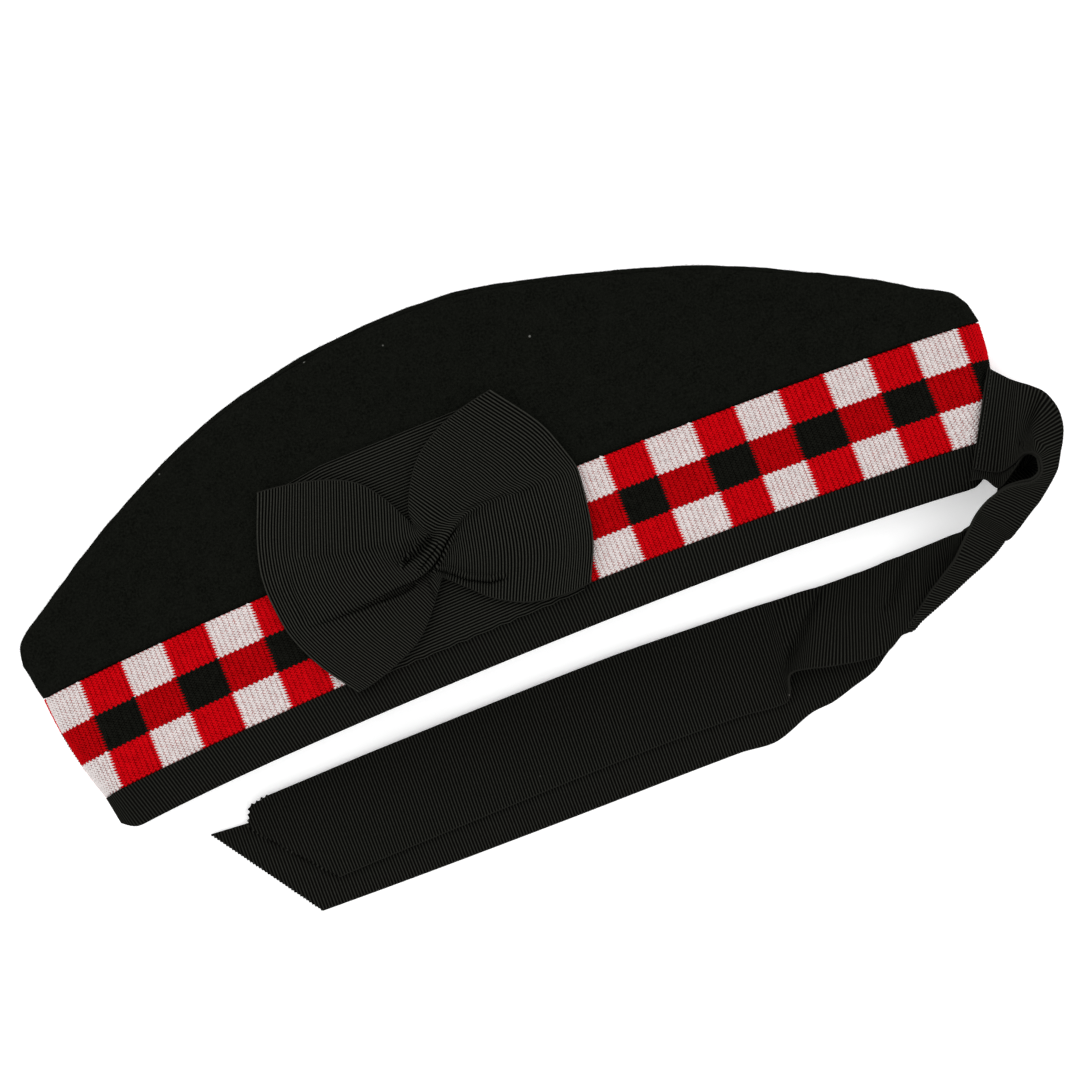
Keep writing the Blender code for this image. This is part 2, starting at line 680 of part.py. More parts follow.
def tail_point(x, y, up, layer):
    corner = tail_corner()
    height = RIBBON_WALL / 2 + SEAT_LAYER * layer + TAIL_WIDTH * up
    return np.array([corner[0] + x * TAIL_WIDTH, corner[1] + y * TAIL_WIDTH, height])


def straight_row(start, end, middle=0.5):
    # Seven points from edge to edge, the fourth at the share called middle
    shares = [middle * k / 3 for k in range(3)] + [middle + (1 - middle) * k / 3 for k in range(4)]
    return [start + (end - start) * share for share in shares]


def lying_row(rib, layer, middle=0.5):
    inner = tail_point(rib.inner_x, rib.inner_y, rib.inner_up, layer)
    outer = tail_point(rib.outer_x, rib.outer_y, rib.outer_up, layer)
    return straight_row(inner, outer, middle)


def root_row(layer, slip=0.0):
    # The sewn end follows the rounded side of the cap
    inner, outer = tail_point(*ROOT_INNER, 0.0, 0), tail_point(*ROOT_OUTER, 0.0, 0)
    slipped = (inner - outer) * slip
    row = straight_row(inner + slipped, outer + slipped)
    for point in row:
        point[2] = top_height(point[0], point[1]) + CLOTH_GAP + RIBBON_WALL / 2
        point[2] += (SEAT_LAYER + CLOTH_GAP) * layer
    return row


def folded_row(rib):
    # Upper part, three points round the crease, lower part
    inner = tail_point(rib.inner_x, rib.inner_y, rib.inner_up, 0)
    outer = tail_point(rib.outer_x, rib.outer_y, 0.0, 0)
    nose = tail_point(rib.crease_x, rib.crease_y, 0.0, 0) + np.array([0, 0, FOLD_ROUND])
    above = nose + np.array([0, 0, FOLD_ROUND])
    above += (inner - above) * min(0.4, 2 * FOLD_ROUND / np.linalg.norm(inner - above))
    below = nose - np.array([0, 0, FOLD_ROUND])
    below += (outer - below) * min(0.4, 2 * FOLD_ROUND / np.linalg.norm(outer - below))
    return [inner, (inner + above) / 2, above, nose, below, (outer + below) / 2, outer]


def near_standing_rows():
    rows = [root_row(1)]
    rows += [lying_row(rib, 0) for rib in NEAR_STANDING[:-1]]
    return rows + [lying_row(NEAR_STANDING[-1], 0, CREASE_START)]


def tail_near(material):
    rows = near_standing_rows()
    rows += [folded_row(rib) for rib in NEAR_FOLDED]
    rows += [lying_row(NEAR_LYING[0], 0, CREASE_END)]
    rows += [lying_row(rib, 0) for rib in NEAR_LYING[1:]]
    return ribbon_object("tail_near", smooth_run(rows, TAIL_STEP), material)


def far_hidden_rows():
    # Inside the near tail's turn, one layer in from it and soon a little lower
    rows = smooth_run(near_standing_rows(), TAIL_STEP)
    inside = rows - cloth_normals(rows, closed=False) * FAR_INSIDE_NEAR
    hidden = []
    for i, row in enumerate(inside[1:]):
        top = 1 - (1 - FAR_HIDDEN_SHARE) * min(1.0, 4 * i / len(inside))
        foot = FAR_LIFTED_SHARE * i / len(inside)
        lower, upper = row[-1], row[0]
        hidden.append(lower + (upper - lower) * foot + (row - lower) * (top - foot))
    return hidden


def tail_far(material):
    rows = [root_row(0, FAR_SLIP)] + far_hidden_rows()
    rows += [lying_row(rib, 1) for rib in FAR_LYING]
    return ribbon_object("tail_far", smooth_run(rows, TAIL_STEP), material)


def stand_on_origin(pieces):
    # The middle of the whole cap's box, at its lowest point, is the origin
    low, high = np.full(3, np.inf), np.full(3, -np.inf)
    for piece in pieces:
        points = np.array([v.co[:] for v in piece.data.vertices])
        low, high = np.minimum(low, points.min(axis=0)), np.maximum(high, points.max(axis=0))
    shift = (-(low[0] + high[0]) / 2, -(low[1] + high[1]) / 2, -low[2])
    for piece in pieces:
        for vertex in piece.data.vertices:
            vertex.co = [c + d for c, d in zip(vertex.co, shift)]


def main():
    clear_scene()
    felt = cloth_material("felt", FELT_COLOUR, 0.95)
    knit = cloth_material("knit", KNIT_COLOUR, 0.85)
    ribbon = cloth_material("grosgrain ribbon", RIBBON_COLOUR, 0.60)
    pieces = [
        felt_crown(felt),
        diced_band(knit),
        brim_binding(ribbon),
        rosette_base(ribbon),
        rosette_bow(ribbon),
        tail_near(ribbon),
        tail_far(ribbon),
    ]
    stand_on_origin(pieces)


main()
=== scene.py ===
import math

import bmesh
import bpy
import numpy as np
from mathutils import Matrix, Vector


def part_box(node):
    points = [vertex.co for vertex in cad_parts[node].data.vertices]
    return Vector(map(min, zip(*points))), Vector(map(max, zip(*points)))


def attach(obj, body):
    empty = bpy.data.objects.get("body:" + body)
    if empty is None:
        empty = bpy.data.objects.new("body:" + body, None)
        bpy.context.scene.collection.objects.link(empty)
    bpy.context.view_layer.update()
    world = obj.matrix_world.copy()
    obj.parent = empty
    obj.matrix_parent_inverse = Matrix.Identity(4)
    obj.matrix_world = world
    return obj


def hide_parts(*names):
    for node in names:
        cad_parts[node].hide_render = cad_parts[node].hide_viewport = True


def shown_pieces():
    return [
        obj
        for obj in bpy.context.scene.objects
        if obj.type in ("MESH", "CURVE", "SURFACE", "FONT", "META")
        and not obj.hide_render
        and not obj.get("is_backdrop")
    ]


# A black felt glengarry that lies on its right side, with its knitted dicing, bound brim,
# bow and tails. Lengths are in metres, and +X runs to the back of the cap.
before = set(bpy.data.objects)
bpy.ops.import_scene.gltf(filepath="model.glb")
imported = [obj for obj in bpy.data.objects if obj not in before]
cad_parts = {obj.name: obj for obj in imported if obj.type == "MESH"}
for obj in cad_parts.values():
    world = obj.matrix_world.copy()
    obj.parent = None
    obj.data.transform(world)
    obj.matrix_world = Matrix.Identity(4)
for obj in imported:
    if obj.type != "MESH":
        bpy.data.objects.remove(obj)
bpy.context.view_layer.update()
dice = np.random.default_rng(11)
print("the frame is in")

# the cap's own lines, which every piece follows

cap = {
    "bandLength": 0.3125,
    "bandHeight": 0.0353,
    "bindingHeight": 0.0128,
    "crownLength": 0.3129,
    "crownRise": 0.0706,
    "frontOverhang": 0.0019,
    "frontLean": 0.0065,
    "backLean": 0.0100,
    "bindingFrontLean": 0.0015,
    "bindingBackLean": 0.0055,
    "cornerRound": 0.0055,
    "cornerFullness": 0.60,
    "frontBow": 0.0013,
    "backBow": 0.0023,
    "topArch": 0.0055,
    "footArch": 0.0058,
    "brimArch": 0.0064,
    "archFullness": 0.7,
    "foldHeight": 0.0140,
    "openingHeight": 0.0340,
    "ridgeHeight": 0.0160,
    "openingFade": 1.15,
    "middleFullness": 1.2,
    "levelShares": [0.0, 0.11, 0.42, 1.0],
    "ridge": [
        (0.000, 0.170), (0.004, 0.250), (0.014, 0.300), (0.030, 0.345), (0.070, 0.455),
        (0.135, 0.622), (0.210, 0.777), (0.300, 0.915), (0.390, 0.985), (0.455, 1.000),
        (0.520, 0.987), (0.615, 0.905), (0.770, 0.686), (0.905, 0.392), (0.965, 0.225),
        (0.990, 0.162), (1.000, 0.095),
    ],
    "gap": 0.0003,
    "baseFromFront": 0.0935,
    "baseAboveBinding": 0.0025,
}
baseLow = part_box("rosette_base")[0]
shift = np.array([
    baseLow.x - cap["baseFromFront"],
    baseLow.y - cap["baseAboveBinding"],
    0.0,
])


def smoothBetween(t, start, leaving, end, arriving):
    # cubic from start to end, with the slopes that it leaves and arrives with
    return ((2 * t**3 - 3 * t**2 + 1) * start + (t**3 - 2 * t**2 + t) * leaving
            + (3 * t**2 - 2 * t**3) * end + (t**3 - t**2) * arriving)


def smoothCurve(points, at):
    # cubic through the points, without overshoot
    x = np.array([p[0] for p in points])
    y = np.array([p[1] for p in points])
    step = np.diff(x)
    chord = np.diff(y) / step
    slope = np.concatenate([chord[:1], np.zeros(len(x) - 2), chord[-1:]])
    same = chord[:-1] * chord[1:] > 0
    total = np.where(same, chord[:-1] + chord[1:], 1.0)
    slope[1:-1] = np.where(same, 2 * chord[:-1] * chord[1:] / total, 0.0)
    at = np.clip(at, x[0], x[-1])
    i = np.clip(np.searchsorted(x, at) - 1, 0, len(x) - 2)
    t = (at - x[i]) / step[i]
    return smoothBetween(t, y[i], step[i] * slope[i], y[i + 1], step[i] * slope[i + 1])


def hump(share, power):
    # 0 at both ends and 1 in the middle
    return np.maximum(0.0, np.sin(np.pi * share)) ** power


def capLine(level, share):
    # level 0 is the brim's edge, 1 the band's foot, 2 the band's top and 3 the ridge
    front = cap["frontOverhang"]
    back = front + cap["bandLength"]
    footFront = front + cap["frontLean"]
    footBack = back - cap["backLean"]
    if level == 0:
        start = footFront + cap["bindingFrontLean"]
        end = footBack - cap["bindingBackLean"]
        near = np.minimum(share, 1 - share) * (end - start)
        left = 1 - np.minimum(near / cap["cornerRound"], 1.0)
        rise = cap["brimArch"] * hump(share, cap["archFullness"])
        rise = rise + cap["cornerRound"] * cap["cornerFullness"] * left**2
        return np.stack([start + (end - start) * share, rise - cap["bindingHeight"]], -1)
    if level == 1:
        x = footFront + (footBack - footFront) * share
        return np.stack([x, cap["footArch"] * hump(share, cap["archFullness"])], -1)
    if level == 2:
        x = front + cap["bandLength"] * share
        return np.stack([x, cap["bandHeight"] + cap["topArch"] * hump(share, cap["archFullness"])], -1)
    rise = smoothCurve(cap["ridge"], share)
    return np.stack([cap["crownLength"] * share, cap["bandHeight"] + cap["crownRise"] * rise], -1)


def flatPoint(level, share):
    # a place on the cap laid flat, between its lines
    level, share = np.broadcast_arrays(np.asarray(level, float), np.asarray(share, float))
    lines = np.stack([capLine(k, share) for k in range(4)])
    lower = np.clip(np.floor(level), 0, 2).astype(int)
    part = level - lower
    here = np.take_along_axis(lines, lower[None, ..., None], 0)[0]
    above = np.take_along_axis(lines, lower[None, ..., None] + 1, 0)[0]
    point = here * (1 - part[..., None]) + above * part[..., None]
    bow = np.where(lower == 1, 4 * part * (1 - part), 0.0)
    point[..., 0] += bow * (cap["backBow"] * share**2 - cap["frontBow"] * (1 - share) ** 2)
    return point


def sideHeight(level, share):
    # how thick the cap lies there
    up = np.interp(level, range(4), cap["levelShares"])
    room = cap["openingHeight"] - cap["ridgeHeight"]
    middle = cap["ridgeHeight"] + room * np.maximum(1 - up, 0) ** cap["openingFade"]
    return cap["foldHeight"] + (middle - cap["foldHeight"]) * hump(share, cap["middleFullness"])


def turnShare(turn):
    # share of the cap's length at a turn round it, which runs over the upper side first
    return (1 - np.cos(turn)) / 2


def fromFolds(level, share):
    # how far a place is from the front fold and from the back fold
    x = flatPoint(level, share)[..., 0]
    front = flatPoint(level, np.zeros_like(share))[..., 0]
    back = flatPoint(level, np.ones_like(share))[..., 0]
    return x - front, back - x


def roundness(level, share):
    # 0 on the front and back folds, 1 where the two sides run flat
    front, back = fromFolds(level, share)
    reach = np.clip(np.minimum(front, back) / (cap["foldHeight"] / 2), 0.0, 1.0)
    return np.sqrt(1 - (1 - reach) ** 2)


def skinPoint(turn, level):
    # a point on the outermost face of the cap
    turn, level = np.broadcast_arrays(np.asarray(turn, float), np.asarray(level, float))
    share = turnShare(turn)
    flat = flatPoint(level, share)
    half = sideHeight(level, share) / 2
    side = np.where(np.sin(turn) >= 0, 1.0, -1.0)
    z = half * (1 + side * roundness(level, share))
    return np.concatenate([flat, z[..., None]], -1)


def insetPoint(turn, level, inset):
    # a point that lies the inset under the outermost face
    turn, level, inset = np.broadcast_arrays(*[np.asarray(a, float) for a in (turn, level, inset)])
    roundCap = skinPoint(turn + 1e-4, level) - skinPoint(turn - 1e-4, level)
    upCap = skinPoint(turn, level + 1e-3) - skinPoint(turn, level - 1e-3)
    inward = np.cross(upCap, roundCap)
    inward /= np.linalg.norm(inward, axis=-1, keepdims=True)
    return skinPoint(turn, level) + inset[..., None] * inward


def topHeight(x, y):
    # height of the cap's upper side at a place, found in a few rounds
    x, y = np.asarray(x, float), np.asarray(y, float)
    level, share = np.full(x.shape, 1.5), np.full(x.shape, 0.5)
    for _ in range(12):
        front = flatPoint(level, np.zeros_like(x))[..., 0]
        back = flatPoint(level, np.ones_like(x))[..., 0]
        share = np.clip((x - front) / (back - front), 0.0, 1.0)
        lines = [flatPoint(float(k), share)[..., 1] for k in range(4)]
        level = sum(np.clip((y - lines[k]) / (lines[k + 1] - lines[k]), 0, 1) for k in range(3))
    return sideHeight(level, share) / 2 * (1 + roundness(level, share))


# small tools for cloth

def softWaves(points, size, seed, count=14):
    # a smooth random field, about -1 to 1, with lumps of the given size
    pick = np.random.default_rng(seed)
    total = 0.0
    for _ in range(count):
        way = pick.normal(size=3)
        way *= pick.uniform(0.6, 1.5) / np.linalg.norm(way)
        total = total + np.sin(points @ way * (2 * np.pi / size) + pick.uniform(0, 2 * np.pi))
    return total / math.sqrt(count)


def gridQuads(rows, columns, closedRows=False, closedColumns=False):
    # the four corners of each face of a grid
    r = np.arange(rows if closedRows else rows - 1)
    c = np.arange(columns if closedColumns else columns - 1)
    r, c = np.meshgrid(r, c, indexing="ij")
    nextR, nextC = (r + 1) % rows, (c + 1) % columns
    quads = [r * columns + c, r * columns + nextC, nextR * columns + nextC, nextR * columns + c]
    return np.stack(quads, -1).reshape(-1, 4)


def clothObject(name, points, faces, materials, uv=None, merge=0.0, picks=None):
    # picks holds the place in materials of each face
    mesh = bpy.data.meshes.new(name)
    points = np.asarray(points, float).reshape(-1, 3) + shift
    mesh.from_pydata(points.tolist(), [], [list(map(int, f)) for f in faces])
    for material in materials:
        mesh.materials.append(material)
    if picks is not None:
        mesh.polygons.foreach_set("material_index", np.asarray(picks, np.int32))
    if uv is not None:
        corners = np.zeros(len(mesh.loops), np.int32)
        mesh.loops.foreach_get("vertex_index", corners)
        layer = mesh.uv_layers.new(name="cloth")
        layer.data.foreach_set("uv", np.asarray(uv, float).reshape(-1, 2)[corners].ravel())
    build = bmesh.new()
    build.from_mesh(mesh)
    if merge:
        bmesh.ops.remove_doubles(build, verts=build.verts, dist=merge)
    bmesh.ops.recalc_face_normals(build, faces=build.faces)
    build.to_mesh(mesh)
    build.free()
    mesh.shade_smooth()
    made = bpy.data.objects.new(name, mesh)
    bpy.context.scene.collection.objects.link(made)
    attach(made, "root")
    return made


def runSetup(rows, levelOff=True):
    # what a smooth run through the rows needs, with no dip through what the cloth lies on
    rows = np.asarray(rows, float)
    lengths = np.linalg.norm(np.diff(rows, axis=0), axis=2).mean(axis=1)
    knots = np.concatenate([[0.0], np.cumsum(lengths)])
    slopes = np.empty_like(rows)
    slopes[0] = (rows[1] - rows[0]) / lengths[0]
    slopes[-1] = (rows[-1] - rows[-2]) / lengths[-1]
    slopes[1:-1] = (rows[2:] - rows[:-2]) / (knots[2:] - knots[:-2])[:, None, None]
    if levelOff:
        rises = np.diff(rows[:, :, 2], axis=0) / lengths[:, None]
        steepest = 3 * np.minimum(abs(rises[:-1]), abs(rises[1:])) * (rises[:-1] * rises[1:] > 0)
        slopes[1:-1, :, 2] = np.clip(slopes[1:-1, :, 2], -steepest, steepest)
    return rows, knots, slopes


def runAt(setup, at):
    rows, knots, slopes = setup
    i = np.clip(np.searchsorted(knots, at, side="right") - 1, 0, len(knots) - 2)
    length = (knots[i + 1] - knots[i])[:, None, None]
    t = ((at - knots[i]) / (knots[i + 1] - knots[i]))[:, None, None]
    return smoothBetween(t, rows[i], length * slopes[i], rows[i + 1], length * slopes[i + 1])


def acrossAt(rows, at):
    # more columns between those of each row, bent smoothly and without overshoot
    chord = np.diff(rows, axis=1)
    slope = np.concatenate([chord[:, :1], np.zeros_like(rows[:, 2:]), chord[:, -1:]], axis=1)
    before, after = chord[:, :-1], chord[:, 1:]
    same = before * after > 0
    slope[:, 1:-1] = np.where(same, 2 * before * after / np.where(same, before + after, 1), 0)
    i = np.clip(np.floor(at).astype(int), 0, rows.shape[1] - 2)
    t = (at - i)[None, :, None]
    return smoothBetween(t, rows[:, i], slope[:, i], rows[:, i + 1], slope[:, i + 1])


def gridNormals(grid):
    # which way the cloth faces at each point
    normal = np.cross(np.gradient(grid, axis=0), np.gradient(grid, axis=1))
    return normal / np.maximum(np.linalg.norm(normal, axis=2, keepdims=True), 1e-12)


def closedSheet(upper, lower):
    # two grids and the four strips that join their edges
    rows, columns = upper.shape[:2]
    size = rows * columns
    top = gridQuads(rows, columns)
    rim = list(range(columns))
    rim += [columns * r + columns - 1 for r in range(1, rows)]
    rim += [columns * (rows - 1) + c for c in reversed(range(columns - 1))]
    rim += [columns * r for r in reversed(range(1, rows - 1))]
    rim = np.array(rim)
    after = np.roll(rim, -1)
    walls = np.stack([rim, rim + size, after + size, after], -1)
    points = np.concatenate([upper.reshape(-1, 3), lower.reshape(-1, 3)])
    return points, np.concatenate([top, top[:, ::-1] + size, walls])


# materials

def newMaterial(name, colour, roughness, specular, sheen, sheenRoughness=0.5):
    material = bpy.data.materials.new(name)
    material.use_nodes = True
    nodes, links = material.node_tree.nodes, material.node_tree.links
    shader = nodes["Principled BSDF"]
    shader.inputs["Base Color"].default_value = (*colour, 1.0)
    shader.inputs["Roughness"].default_value = roughness
    shader.inputs["Specular IOR Level"].default_value = specular
    shader.inputs["Sheen Weight"].default_value = sheen
    shader.inputs["Sheen Roughness"].default_value = sheenRoughness
    return material, nodes, links, shader


def blendColours(nodes, links, factor, first, second):
    mix = nodes.new("ShaderNodeMix")
    mix.data_type = "RGBA"
    links.new(factor, mix.inputs["Factor"])
    for value, socket in ((first, mix.inputs[6]), (second, mix.inputs[7])):
        if isinstance(value, tuple):
            socket.default_value = (*value, 1.0)
        else:
            links.new(value, socket)
    return mix.outputs[2]


def rangeMask(nodes, links, value, low, high, eased=False):
    # 0 where the value is at low and 1 where it is at high
    spread = nodes.new("ShaderNodeMapRange")
    if eased:
        spread.interpolation_type = "SMOOTHSTEP"
    spread.inputs["From Min"].default_value = low
    spread.inputs["From Max"].default_value = high
    links.new(value, spread.inputs["Value"])
    return spread.outputs["Result"]


def mathNode(nodes, links, operation, *values):
    node = nodes.new("ShaderNodeMath")
    node.operation = operation
    for value, socket in zip(values, node.inputs):
        if isinstance(value, float):
            socket.default_value = value
        else:
            links.new(value, socket)
    return node.outputs["Value"]


def noiseMask(nodes, links, coordinate, scale, low, high, detail=3.0, stretch=None):
    # noise turned into a mask that runs from 0 at low to 1 at high
    if stretch:
        mapping = nodes.new("ShaderNodeMapping")
        mapping.inputs["Scale"].default_value = stretch
        links.new(coordinate, mapping.inputs["Vector"])
        coordinate = mapping.outputs["Vector"]
    noise = nodes.new("ShaderNodeTexNoise")
    noise.inputs["Scale"].default_value = scale
    noise.inputs["Detail"].default_value = detail
    links.new(coordinate, noise.inputs["Vector"])
    return rangeMask(nodes, links, noise.outputs["Fac"], low, high)


def addBump(nodes, links, shader, height, distance, strength=1.0, before=None):
    bump = nodes.new("ShaderNodeBump")
    bump.inputs["Strength"].default_value = strength
    bump.inputs["Distance"].default_value = distance
    links.new(height, bump.inputs["Height"])
    if before is not None:
        links.new(before.outputs["Normal"], bump.inputs["Normal"])
    links.new(bump.outputs["Normal"], shader.inputs["Normal"])
    return bump


lint = {
    "cells": 90.0,
    "someFrom": (0.45, 0.55),
}


def lintMask(nodes, links, coordinate, size):
    # a few stray specks, one in some of the cells
    cell = nodes.new("ShaderNodeTexVoronoi")
    cell.inputs["Scale"].default_value = lint["cells"]
    links.new(coordinate, cell.inputs["Vector"])
    near = rangeMask(nodes, links, cell.outputs["Distance"], size, size / 2)
    split = nodes.new("ShaderNodeSeparateColor")
    links.new(cell.outputs["Color"], split.inputs["Color"])
    some = rangeMask(nodes, links, split.outputs["Red"], *lint["someFrom"])
    return mathNode(nodes, links, "MULTIPLY", near, some)


feltLook = {
    "dark": (0.0020, 0.0022, 0.0017),
    "pale": (0.0067, 0.0073, 0.0057),
    # painted shade for the felt inside the fold along the top
    "foldShade": (0.0010, 0.0011, 0.0008),
    "roughness": 0.95,
    "specular": 0.0,
    "sheen": 0.002,
    "fibreSize": 1500.0,
    "fibreDepth": 0.00025,
    "slant": (1.6, 0.5, 1.0),
    "cloudSize": 210.0,
    "lint": (0.12, 0.12, 0.11),
    "lintSize": 0.042,
}


def feltMaterial(name, look):
    # u is 0 outside and 1 in the fold along the top, where the felt takes a painted shade
    material, nodes, links, shader = newMaterial(
        name, look["pale"], look["roughness"], look["specular"], look["sheen"], 0.6)
    place = nodes.new("ShaderNodeTexCoord").outputs["Object"]
    cloudy = noiseMask(nodes, links, place, look["cloudSize"], 0.30, 1.30, 4.0)
    grain = noiseMask(nodes, links, place, look["fibreSize"], 0.32, 0.70, 4.0)
    slant = noiseMask(nodes, links, place, look["fibreSize"], 0.35, 0.68, 3.0, look["slant"])
    ground = blendColours(nodes, links, grain, look["dark"], look["pale"])
    ground = blendColours(nodes, links, cloudy, ground, look["pale"])
    specks = lintMask(nodes, links, place, look["lintSize"])
    ground = blendColours(nodes, links, specks, ground, look["lint"])
    # painted shade: u turns the felt towards the fold shade colour
    split = nodes.new("ShaderNodeSeparateXYZ")
    links.new(nodes.new("ShaderNodeTexCoord").outputs["UV"], split.inputs["Vector"])
    ground = blendColours(nodes, links, split.outputs["X"], ground, look["foldShade"])
    links.new(ground, shader.inputs["Base Color"])
    first = addBump(nodes, links, shader, grain, look["fibreDepth"], 0.9)
    addBump(nodes, links, shader, slant, look["fibreDepth"] * 0.8, 0.7, first)
    return material


ribbonLook = {
    # painted shade in the valleys between the cords
    "valleyShade": (0.0020, 0.0020, 0.0017),
    "cord": (0.0250, 0.0254, 0.0213),
    "roughness": 0.7,
    "specular": 0.0,
    "sheen": 0.0,
    "ribDepth": 0.00012,
    "threadDepth": 0.00004,
    "worn": 0.55,
    "threadSize": (2600.0, 2.2, 1.0),
    # how far from the middle of a cord, in ribs, the painted valley shade and the cord's top begin
    "cordEnds": (0.32, 0.04),
    "edge": (0.0115, 0.0115, 0.0098),
    "edgeWidths": (0.0004, 0.0002),
    "lint": (0.10, 0.095, 0.085),
    "lintSize": 0.028,
}


def ribbonMaterial(name, look, width, shade=1.0, valleyShadeScale=1.0):
    # u runs across the ribbon in metres and v counts its ribs
    cord = tuple(c * shade for c in look["cord"])
    valleyShade = tuple(c * valleyShadeScale for c in look["valleyShade"])
    material, nodes, links, shader = newMaterial(
        name, cord, look["roughness"], look["specular"], look["sheen"], 0.4)
    place = nodes.new("ShaderNodeTexCoord")
    split = nodes.new("ShaderNodeSeparateXYZ")
    links.new(place.outputs["UV"], split.inputs["Vector"])
    wave = mathNode(nodes, links, "PINGPONG", split.outputs["Y"], 0.5)
    rib = rangeMask(nodes, links, wave, *look["cordEnds"], eased=True)
    threads = noiseMask(nodes, links, place.outputs["UV"], 1.0, 0.30, 0.72, 2.0, look["threadSize"])
    darker = tuple(c * look["worn"] for c in cord)
    worn = blendColours(nodes, links, threads, darker, cord)
    # the valleys between the cords are coloured with painted shade
    ground = blendColours(nodes, links, rib, valleyShade, worn)
    middle = mathNode(nodes, links, "SUBTRACT", split.outputs["X"], width / 2)
    away = mathNode(nodes, links, "ABSOLUTE", middle)
    edge = rangeMask(nodes, links, away, *(width / 2 - inside for inside in look["edgeWidths"]))
    ground = blendColours(nodes, links, edge, ground, look["edge"])
    specks = lintMask(nodes, links, place.outputs["Object"], look["lintSize"])
    ground = blendColours(nodes, links, specks, ground, look["lint"])
    links.new(ground, shader.inputs["Base Color"])
    first = addBump(nodes, links, shader, rib, look["ribDepth"], 0.6)
    addBump(nodes, links, shader, threads, look["threadDepth"], 0.6, first)
    return material


yarnLook = {
    "white": (0.665, 0.615, 0.605),
    "red": (0.54, 0.0022, 0.0056),
    "deepRed": (0.42, 0.0020, 0.0040),
    "black": (0.0082, 0.0084, 0.0066),
    "thread": (0.030, 0.030, 0.026),
    "fibreSize": 3200.0,
    "fibreDepth": 0.00009,
    "patchSize": 420.0,
    "roughness": 0.9,
}


def yarnMaterial(name, colour, look, dull=0.75):
    material, nodes, links, shader = newMaterial(name, colour, look["roughness"], 0.0, 0.0)
    place = nodes.new("ShaderNodeTexCoord").outputs["Object"]
    fibre = noiseMask(nodes, links, place, look["fibreSize"], 0.30, 0.70, 2.0)
    patchy = noiseMask(nodes, links, place, look["patchSize"], 0.30, 0.65, 2.0)
    shaded = tuple(c * dull for c in colour)
    ground = blendColours(nodes, links, fibre, shaded, colour)
    ground = blendColours(nodes, links, patchy, ground, colour)
    links.new(ground, shader.inputs["Base Color"])
    addBump(nodes, links, shader, fibre, look["fibreDepth"], 0.7)
    return material


feltCloth = feltMaterial("black wool felt", feltLook)
whiteYarn = yarnMaterial("white yarn", yarnLook["white"], yarnLook, 0.86)
redYarn = yarnMaterial("red yarn", yarnLook["red"], yarnLook)
deepRedYarn = yarnMaterial("red yarn of the middle row", yarnLook["deepRed"], yarnLook)
threadYarn = yarnMaterial("black sewing thread", yarnLook["thread"], yarnLook)
blackYarn = yarnMaterial("black yarn", yarnLook["black"], yarnLook, 0.45)
print("the materials are mixed")

# the felt crown

crown = {
    "wall": 0.0020,
    "bindingWall": 0.0012,
    "knitWall": 0.0016,
    "foldDepth": 0.0350,
    "ridgeRound": 0.0026,
    "ridgeStep": 0.0026,
    "endTaper": 1.4,
    "legLift": 0.75,
    "turns": 420,
    "fibresPerMm": 1.0,
    "fibreWidth": 0.000016,
    "fibreLengths": (0.0004, 0.0012),
    "fibreSlopes": (0.2, 1.2),
    "fibreAboveFloor": 0.00002,
    # more and wider fibres on the last rings
    "ridgeRings": 8,
    "ridgeFibres": 4.0,
    "ridgeWidth": 1.6,
    "insideCap": (0.16, 0.05, 0.008),
    "aboveFloor": 0.00005,
    "seamRings": 10,
    # the ring where a side bends over, and how many rings on it take the painted fold shade above and below
    "bendRing": 8,
    "shadeFrom": (2, 6),
    "shadeRings": 3,
    # the fibres end this many rings past the bend
    "fuzzRings": 4,
    "lumps": 0.00010,
    "lumpSize": 0.009,
    "sway": 0.00022,
    "swaySize": 0.07,
    # level, how far below the ridge, how far into the fold, and lift towards the middle
    "rings": [
        (2.03, 0, 0.0, 0.0), (2.22, 0, 0.0, 0.0), (2.42, 0, 0.0, 0.0), (2.62, 0, 0.0, 0.0),
        (2.80, 0, 0.0, 0.0), (2.92, 0, 0.0, 0.0), (3.0, 1.0, 0.0, 0.0), (3.0, 0.3, 0.0, 0.12),
        (3.0, 0.0, 0.0, 0.38), (3.0, 0.3, 0.0, 0.62), (3.0, 1.0, 0.0, 0.75),
        (3.0, 1.0, 0.35, 0.82), (3.0, 0.7, 0.70, 0.89), (3.0, 0.0, 0.94, 0.93),
        (3.0, 0.0, 1.0, 1.0),
    ],
    "ringParts": [9, 10, 10, 9, 6, 4, 5, 5, 5, 5, 6, 5, 4, 2],
}


def ridgePoint(turn, level, depth, height):
    # a place so far below the ridge, and so far out from the middle between the two sides
    share = turnShare(turn)
    ridge, under = flatPoint(3.0, share), flatPoint(2.0, share)
    down = under - ridge
    down /= np.linalg.norm(down, axis=-1, keepdims=True)
    flat = ridge + down * depth[:, None]
    side = np.where(np.sin(turn) > 1e-9, 1.0, -1.0)
    z = sideHeight(np.full_like(turn, level), share) / 2 + side * height
    return np.concatenate([flat, z[:, None]], -1)


def crownDepth(share, level, top):
    # how far under the ridge a level lies, where the highest one lies at top
    rise = np.linalg.norm(flatPoint(2.0, share) - flatPoint(3.0, share), axis=-1)
    return rise * (3 - level) + top * (level - 2)


